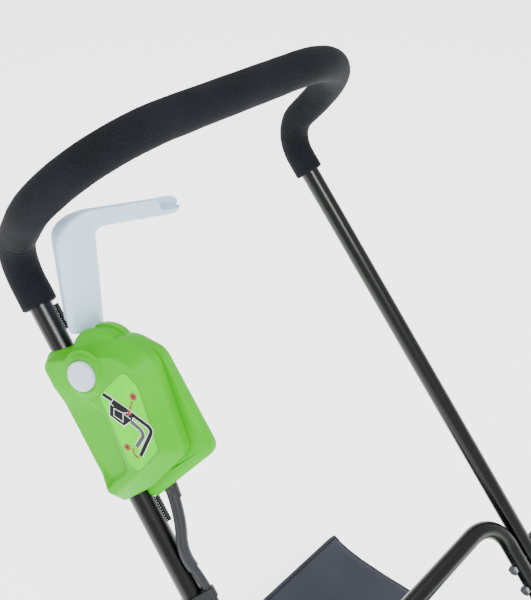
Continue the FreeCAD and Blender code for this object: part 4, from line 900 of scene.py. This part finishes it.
def lever_section(width, depth, rounds, scoop, far_drop, floor):
    """The lever's cross section, as (in from the outer line, back from the front face) pairs."""
    outer_front, inner_front, back = rounds
    lip = LEVER_WALL / 2 - 0.1
    near = max(LEVER_WALL, outer_front + 0.3)
    far = depth - LEVER_WALL
    loop = []
    for u, v, radius, start in (
            (scoop + outer_front, outer_front, outer_front, 180),
            (width - inner_front, inner_front, inner_front, 270),
            (width - back, depth - back, back, 0),
            (far_drop + lip, depth - lip, lip, 90)):
        for k in range(7):
            turn = math.radians(start + 15 * k)
            loop.append((u + radius * math.cos(turn), v + radius * math.sin(turn)))
    near_top = scoop + 0.42
    far_top = far_drop + 0.42
    loop += [
        (far_top, far), (max(floor - 2, far_top), far), (max(floor, far_top), far - 2),
        (max(floor, near_top), near + 4), (max(floor - 3, near_top), near + 0.6), (near_top, near),
    ]
    return loop


def lever_rings():
    """Cross sections from the arm's base, round the bend and along the trough to its tip."""
    outer = lever_edge(LEVER_OUTER, LEVER_OUTER_R, LEVER_STEPS)
    inner = lever_edge(LEVER_INNER, LEVER_INNER_R, LEVER_STEPS)
    base, bend, tip = [on_handle(*c) for c in LEVER_OUTER]
    away = (bend - base).cross(tip - bend).normalized()
    trough_start = LEVER_STEPS[0] + LEVER_STEPS[1]
    rings = []
    for k, (edge, opposite) in enumerate(zip(outer, inner)):
        share = smooth_step((k - LEVER_STEPS[0]) / LEVER_STEPS[1])
        across = (opposite - edge).normalized()
        width = (opposite - edge).length + ARM_OVERHANG * (1 - share)
        depth = ARM_DEPTH + (PADDLE_DEPTH - ARM_DEPTH) * share
        rounds = [arm + (paddle - arm) * share for arm, paddle in zip(ARM_ROUNDS, PADDLE_ROUNDS)]
        far_drop = ARM_BEVEL + (FAR_WALL_DROP - ARM_BEVEL) * share
        to_tip = (outer[-1] - edge).length
        hollow = k > trough_start
        floor = width - LEVER_WALL if hollow else 0.0
        scoop = (width - SCOOP_LEFT) * smooth_step((SCOOP_LENGTH - to_tip) / SCOOP_FALL) if hollow else 0.0
        squeeze = 1.0
        if hollow and to_tip < TIP_ROUND:
            squeeze = math.sqrt(max(1 - ((TIP_ROUND - to_tip) / (TIP_ROUND + 0.5)) ** 2, 0.02))
        ring = []
        for u, v in lever_section(width, depth, rounds, scoop, far_drop, floor):
            u = width / 2 + (u - width / 2) * squeeze
            v = depth / 2 + (v - depth / 2) * (TIP_FLAT + (1 - TIP_FLAT) * squeeze)
            ring.append(edge + across * u + away * (v + LEVER_NEAR))
        rings.append(ring)
    return rings, away


def lever():
    """Arm and trough-shaped paddle, one hollow moulding, with the neck that enters the drum."""
    rings, away = lever_rings()
    base, bend = [on_handle(*c) for c in LEVER_OUTER[:2]]
    inward = (on_handle(*LEVER_INNER[0]) - base).normalized()
    down = (base - bend).normalized()
    heart = sum(rings[0], Vector()) / len(rings[0])
    foot = [[heart + (p - heart) * scale + down * drop for p in rings[0]]
            for scale, drop in ((0.93, 2.4), (0.985, 1.4))]
    arm = finished(stacked("lever_arm", foot + rings, 40), "lever", LEVER_GREY)
    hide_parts("switch_lever")
    neck = []
    for reach, scale in NECK_RINGS:
        centre = base + inward * NECK_IN + away * NECK_BACK + down * reach
        neck.append([
            centre + (inward * (NECK_HALF[0] * a) + away * (NECK_HALF[1] * b)) * scale
            for a, b in OCTAGON
        ])
    finished(stacked("lever_neck", neck, 40), "lever", LEVER_GREY)


# -------- cables
def cable_beside(down):
    return on_handle(upper_x(down) - LEG_GAP / 2, down, CABLE_OUT)


def smooth_cable(name, route, radius=CABLE_R):
    """A round cable on a smooth curve through the route's control points, as a mesh."""
    curve = bpy.data.curves.new(name, "CURVE")
    curve.dimensions = "3D"
    curve.bevel_depth = radius * MM
    curve.bevel_resolution = 6
    curve.resolution_u = 14
    curve.use_fill_caps = True
    spline = curve.splines.new("NURBS")
    spline.points.add(len(route) - 1)
    for point, place in zip(spline.points, route):
        point.co = (*(place * MM), 1.0)
    spline.order_u = 3
    spline.use_endpoint_u = True
    drawn = new_object(name + "_line", curve)
    mesh = evaluated_mesh(drawn)
    bpy.data.objects.remove(drawn)
    bpy.data.curves.remove(curve)
    mesh.materials.clear()
    mesh.materials.append(RUBBER)
    mesh.shade_smooth()
    cable = new_object(name, mesh)
    return cable


def motor_cable():
    route = [in_box(CABLE_X + x, GLAND_Y + y, CABLE_Z + z) for x, y, z in GLAND_ROUTE]
    route += [cable_beside(down) for down in CLIPPED_AT + (FLEX_FROM,)]
    upper = smooth_cable("cable_upper", route)
    sleeve = smooth_cable("cable_sleeve", route[:3] + [(route[2] + route[3]) / 2], SLEEVE_R)
    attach(sleeve, "upper_handle")
    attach(upper, "upper_handle")
    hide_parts("motor_cable_upper")
    fold = smooth_cable("cable_fold", [
        cable_beside(FLEX_FROM), cable_beside(FLEX_FROM + FLEX_EASE) + FOLD_SLACK,
        cable_beside(FLEX_TO - FLEX_EASE) + FOLD_SLACK, cable_beside(FLEX_TO),
    ])
    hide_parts("motor_cable_fold")
    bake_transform(fold)
    start = cable_beside(FLEX_TO)
    leg = (on_handle(upper_x(1), 1) - on_handle(upper_x(0), 0)).normalized()
    first = start + leg * DECK_STRAIGHT_IN
    end = GLAND_POINT - GLAND_DOWN * GLAND_REACH
    last = end - GLAND_DOWN * DECK_STRAIGHT_OUT
    across = (last - first) * 0.17
    deck = smooth_cable("cable_deck", [
        start, first, first + across + DECK_EASE, last - across - DECK_EASE, last, end,
    ])
    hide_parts("motor_cable_deck")
    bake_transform(deck)


def ribbed_strip(name, start, end):
    """A thin ribbed conduit lying against the leg, between two places down it."""
    beside = STRIP_OUT * math.cos(STRIP_TURN)
    before = STRIP_OUT * math.sin(STRIP_TURN)
    count = round((end - start) / STRIP_PITCH) * STRIP_STEPS
    places = [start + (end - start) * k / count for k in range(count + 1)]
    path = [on_handle(upper_x(down) - beside, down, before) for down in places]
    in_groove = [k % STRIP_STEPS >= STRIP_STEPS / 2 for k in range(count + 1)]
    rings = tube_rings(path, [STRIP_R - STRIP_RIB * groove for groove in in_groove], 16)
    finished(stacked(name, rings, 50), "upper_handle", BLACK_MOULD)


# -------- wheels
def tread_groove(share, across):
    """How deep the tread is cut at a share of the turn and a place across the tyre."""
    aside = abs(across - WHEEL_WIDTH / 2)
    if aside <= CENTRE_RIB_HALF:
        return 0.0
    phase = (share * TYRE_LUGS + aside * LUG_SLANT) % 1.0
    return LUG_GROOVE * smooth_step((abs(phase - 0.5) - GROOVE_START) / GROOVE_FLANK)


def treaded_tyre(name, mirror, body, node):
    """Round-shouldered tyre with slanted lugs that meet at a centre rib."""
    inner = WHEEL_R - TYRE_DEPTH
    rings = []
    for k in range(TYRE_STEPS):
        turn = 2 * math.pi * k / TYRE_STEPS
        section = []
        for across, drop in TYRE_SECTION:
            groove = tread_groove(k / TYRE_STEPS, across) if drop > -1.0 else 0.0
            section.append((across, WHEEL_R - TYRE_CLEARANCE + drop - groove))
        section += [(WHEEL_WIDTH - 1.0, inner), (1.0, inner)]
        rings.append([
            Vector(((WHEEL_IN + across) * mirror, AXLE[0] + radius * math.cos(turn),
                    AXLE[1] + radius * math.sin(turn)))
            for across, radius in section
        ])
    tyre = finished(stacked(name, rings, 32, closed=True), body, TYRE)
    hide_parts(node)


# -------- catcher
def bag_size(share):
    """Half width, low and high edge of the bag at a share of its length."""
    return [front + (back - front) * share for front, back in zip(MOUTH, REAR)]


def bag_ring(share):
    """Points round the bag at a share of its length, from the lower right corner upwards."""
    half, low, high = bag_size(share)
    y = MOUTH_Y + (REAR_Y - MOUTH_Y) * share
    right, left = half - BAG_CORNER, BAG_CORNER - half
    bottom, top = low + BAG_CORNER, high - BAG_CORNER
    centres = [(right, bottom), (right, top), (left, top), (left, bottom)]
    ring = []
    for q, (x, z) in enumerate(centres):
        for k in range(CORNER_STEPS + 1):
            turn = math.radians(-90 + 90 * q + 90 * k / CORNER_STEPS)
            ring.append(Vector((x + BAG_CORNER * math.cos(turn), y, z + BAG_CORNER * math.sin(turn))))
        next_x, next_z = centres[(q + 1) % 4]
        turn = math.radians(90 * q)
        goal = Vector((next_x + BAG_CORNER * math.cos(turn), y, next_z + BAG_CORNER * math.sin(turn)))
        count = ACROSS_STEPS if q % 2 else UPRIGHT_STEPS
        here = ring[-1]
        ring += [here.lerp(goal, k / count) for k in range(1, count)]
    return ring


def sagged(point, share):
    """Loose cloth: the panels belly in or down between the seams, with soft folds."""
    half, low, high = bag_size(share)
    span = math.sin(math.pi * min(share * 1.04, 1.0)) if share < 0.96 else 0.0
    across = max(1 - (point.x / (half - BAG_CORNER * 0.6)) ** 2, 0.0)
    height = (point.z - low) / (high - low)
    upright = max(1 - (2 * height - 1) ** 2, 0.0)
    folds = noise.noise(Vector((point.x * 0.018, point.y * 0.03, point.z * 0.018)))
    creases = abs(noise.noise(Vector((point.x * 0.05 + 7, point.y * 0.012, point.z * 0.05))))
    from_back = (1 - share) * (MOUTH_Y - REAR_Y)
    hang = BAG_DROOP * (1 - math.exp(-from_back / DROOP_LENGTH)) * smooth_step(share / 0.4)
    moved = point.copy()
    moved.z -= hang * max(height, 0.0) ** 2
    even, folded, creased = TOP_SAG
    moved.z -= (even + folded * folds) * span * across
    moved.z -= creased * creases * span * across
    even, folded, creased = SIDE_SAG
    moved.x -= math.copysign((even + folded * folds + creased * creases) * span * upright, point.x)
    return moved


def back_panel(edge):
    """Rings from the bag's rear edge in to the middle of its back, which bellies and waves."""
    heart = Vector((0, REAR_Y, (REAR[1] + REAR[2]) / 2))
    rings = []
    for k in range(1, BACK_STEPS + 1):
        share = 1 - k / BACK_STEPS
        belly = BACK_BELLY * (1 - share ** 2)
        ring = []
        for point in edge:
            spot = heart.lerp(point, share)
            wave = noise.noise(spot * 0.022) * BACK_WAVE * (1 - share ** 4)
            ring.append(Vector((spot.x, REAR_Y + belly + wave, spot.z)))
        rings.append(ring)
    return rings


def catcher_bag():
    """Sewn cloth box: four loose panels and a back, hemmed to the wire at its mouth."""
    shares = [k / LENGTH_STEPS for k in range(LENGTH_STEPS + 1)]
    rings = [[sagged(p, share) for p in bag_ring(share)] for share in shares]
    rings += back_panel(rings[-1])
    points = [p for ring in rings for p in ring]
    faces = ring_faces(len(rings), len(rings[0]), start_cap=False, end_cap=False)
    bag = make_mesh("catcher_cloth", points, faces, 75)
    weave_map(bag)
    thickness = bag.modifiers.new("cloth_thickness", "SOLIDIFY")
    thickness.thickness = CLOTH_THICKNESS * MM
    thickness.offset = -1
    thick = evaluated_mesh(bag)
    bag.modifiers.clear()
    bag.data = thick
    finished(bag, "catcher", FABRIC)
    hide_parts("catcher_bag")
    return bag, rings


def weave_map(piece):
    """UVs in metres on the plane that each face lies nearest to, so that threads run true."""
    layer = piece.data.uv_layers.new(name="weave")
    for face in piece.data.polygons:
        normal = face.normal
        strongest = max(range(3), key=lambda axis: abs(normal[axis]))
        for loop in face.loop_indices:
            spot = piece.data.vertices[piece.data.loops[loop].vertex_index].co
            flat = [spot[axis] for axis in range(3) if axis != strongest]
            layer.data[loop].uv = flat


def piping(name, path):
    """A corded seam, ten-sided, along a path."""
    rings = tube_rings(path, [PIPING_R] * len(path), 10)
    return finished(stacked(name, rings, 60), "catcher", PIPING)


def mouth_hem():
    """The cloth's turned-back edge round the mouth."""
    middle = (MOUTH[1] + MOUTH[2]) / 2
    rings = []
    for behind, proud in HEM_RINGS:
        rings.append([
            Vector((p.x + math.copysign(proud, p.x) * (abs(p.x) > MOUTH[0] * 0.7),
                    MOUTH_Y - behind, p.z + math.copysign(proud, p.z - middle)))
            for p in bag_ring(behind / (MOUTH_Y - REAR_Y))
        ])
    hem = stacked("mouth_hem", rings, 60, start_cap=False, end_cap=False)
    return finished(hem, "catcher", PIPING)


def bag_trim(rings):
    """Piping on the four long seams and round the back, and the mouth's hem."""
    middle = CORNER_STEPS // 2
    upper = middle + CORNER_STEPS + UPRIGHT_STEPS
    seams = [middle, upper, upper + CORNER_STEPS + ACROSS_STEPS]
    seams.append(seams[-1] + CORNER_STEPS + UPRIGHT_STEPS)
    trims = []
    for k, place in enumerate(seams):
        path = [rings[j][place] for j in range(0, LENGTH_STEPS + 1, 3)]
        trims.append(piping(f"seam_piping_{k}", path))
    back = rings[LENGTH_STEPS - 1]
    trims.append(piping("back_piping", back + back[:1]))
    trims.append(mouth_hem())
    return trims


def grass_catcher():
    bag, rings = catcher_bag()
    trims = bag_trim(rings)


# -------- floor, light, camera
def stage_and_light():
    """A pale lit floor, an even white sky and three soft lamps."""
    bpy.ops.mesh.primitive_plane_add(size=FLOOR_SIZE, location=(0, 0, 0))
    floor = bpy.context.object
    floor.name = "floor"
    paper = surface("paper_floor", (0.9, 0.9, 0.9, 1.0), (0.92, 0.92, 0.92, 1.0), (0.9, 0.95), specular=0.1)
    lit = paper.node_tree.nodes["Principled BSDF"]
    set_inputs(lit, Emission_Color=WHITE, Emission_Strength=FLOOR_GLOW)
    floor.data.materials.append(paper)
    world = bpy.data.worlds.new("studio")
    world.use_nodes = True
    set_inputs(world.node_tree.nodes["Background"], Color=WHITE, Strength=SKY_STRENGTH)
    bpy.context.scene.world = world
    for name, place, aim, size, power in LAMPS:
        light = bpy.data.lights.new(name, "AREA")
        light.shape = "DISK"
        light.size = size
        light.energy = power
        lamp = new_object(name, light)
        lamp.location = place
        lamp.rotation_euler = (Vector(aim) - Vector(place)).to_track_quat("-Z", "Y").to_euler()


def camera():
    """The photo's view: from above and ahead of the switch box, on the operator's right."""
    lens = bpy.data.cameras.new("view")
    lens.lens = LENS
    lens.sensor_width = SENSOR
    viewer = new_object("view", lens)
    back = CAMERA_RIGHT.cross(CAMERA_UP)
    turn = Matrix((CAMERA_RIGHT, CAMERA_UP, back)).transposed().to_4x4()
    viewer.matrix_world = Matrix.Translation(CAMERA_PLACE) @ turn
    bpy.context.scene.camera = viewer


camera()
paint_cad_nodes()
foam_grip()
front_shell()
rear_shell()
drum()
collar_and_button()
pictogram()
lever()
motor_cable()
ribbed_strip("strip_above_box", 74, 104)
ribbed_strip("strip_below_box", 314, 345)
treaded_tyre("tyre_right", 1, "right_wheel_assembly", "right_tyre")
treaded_tyre("tyre_left", -1, "left_wheel_assembly", "left_tyre")
grass_catcher()
stage_and_light()
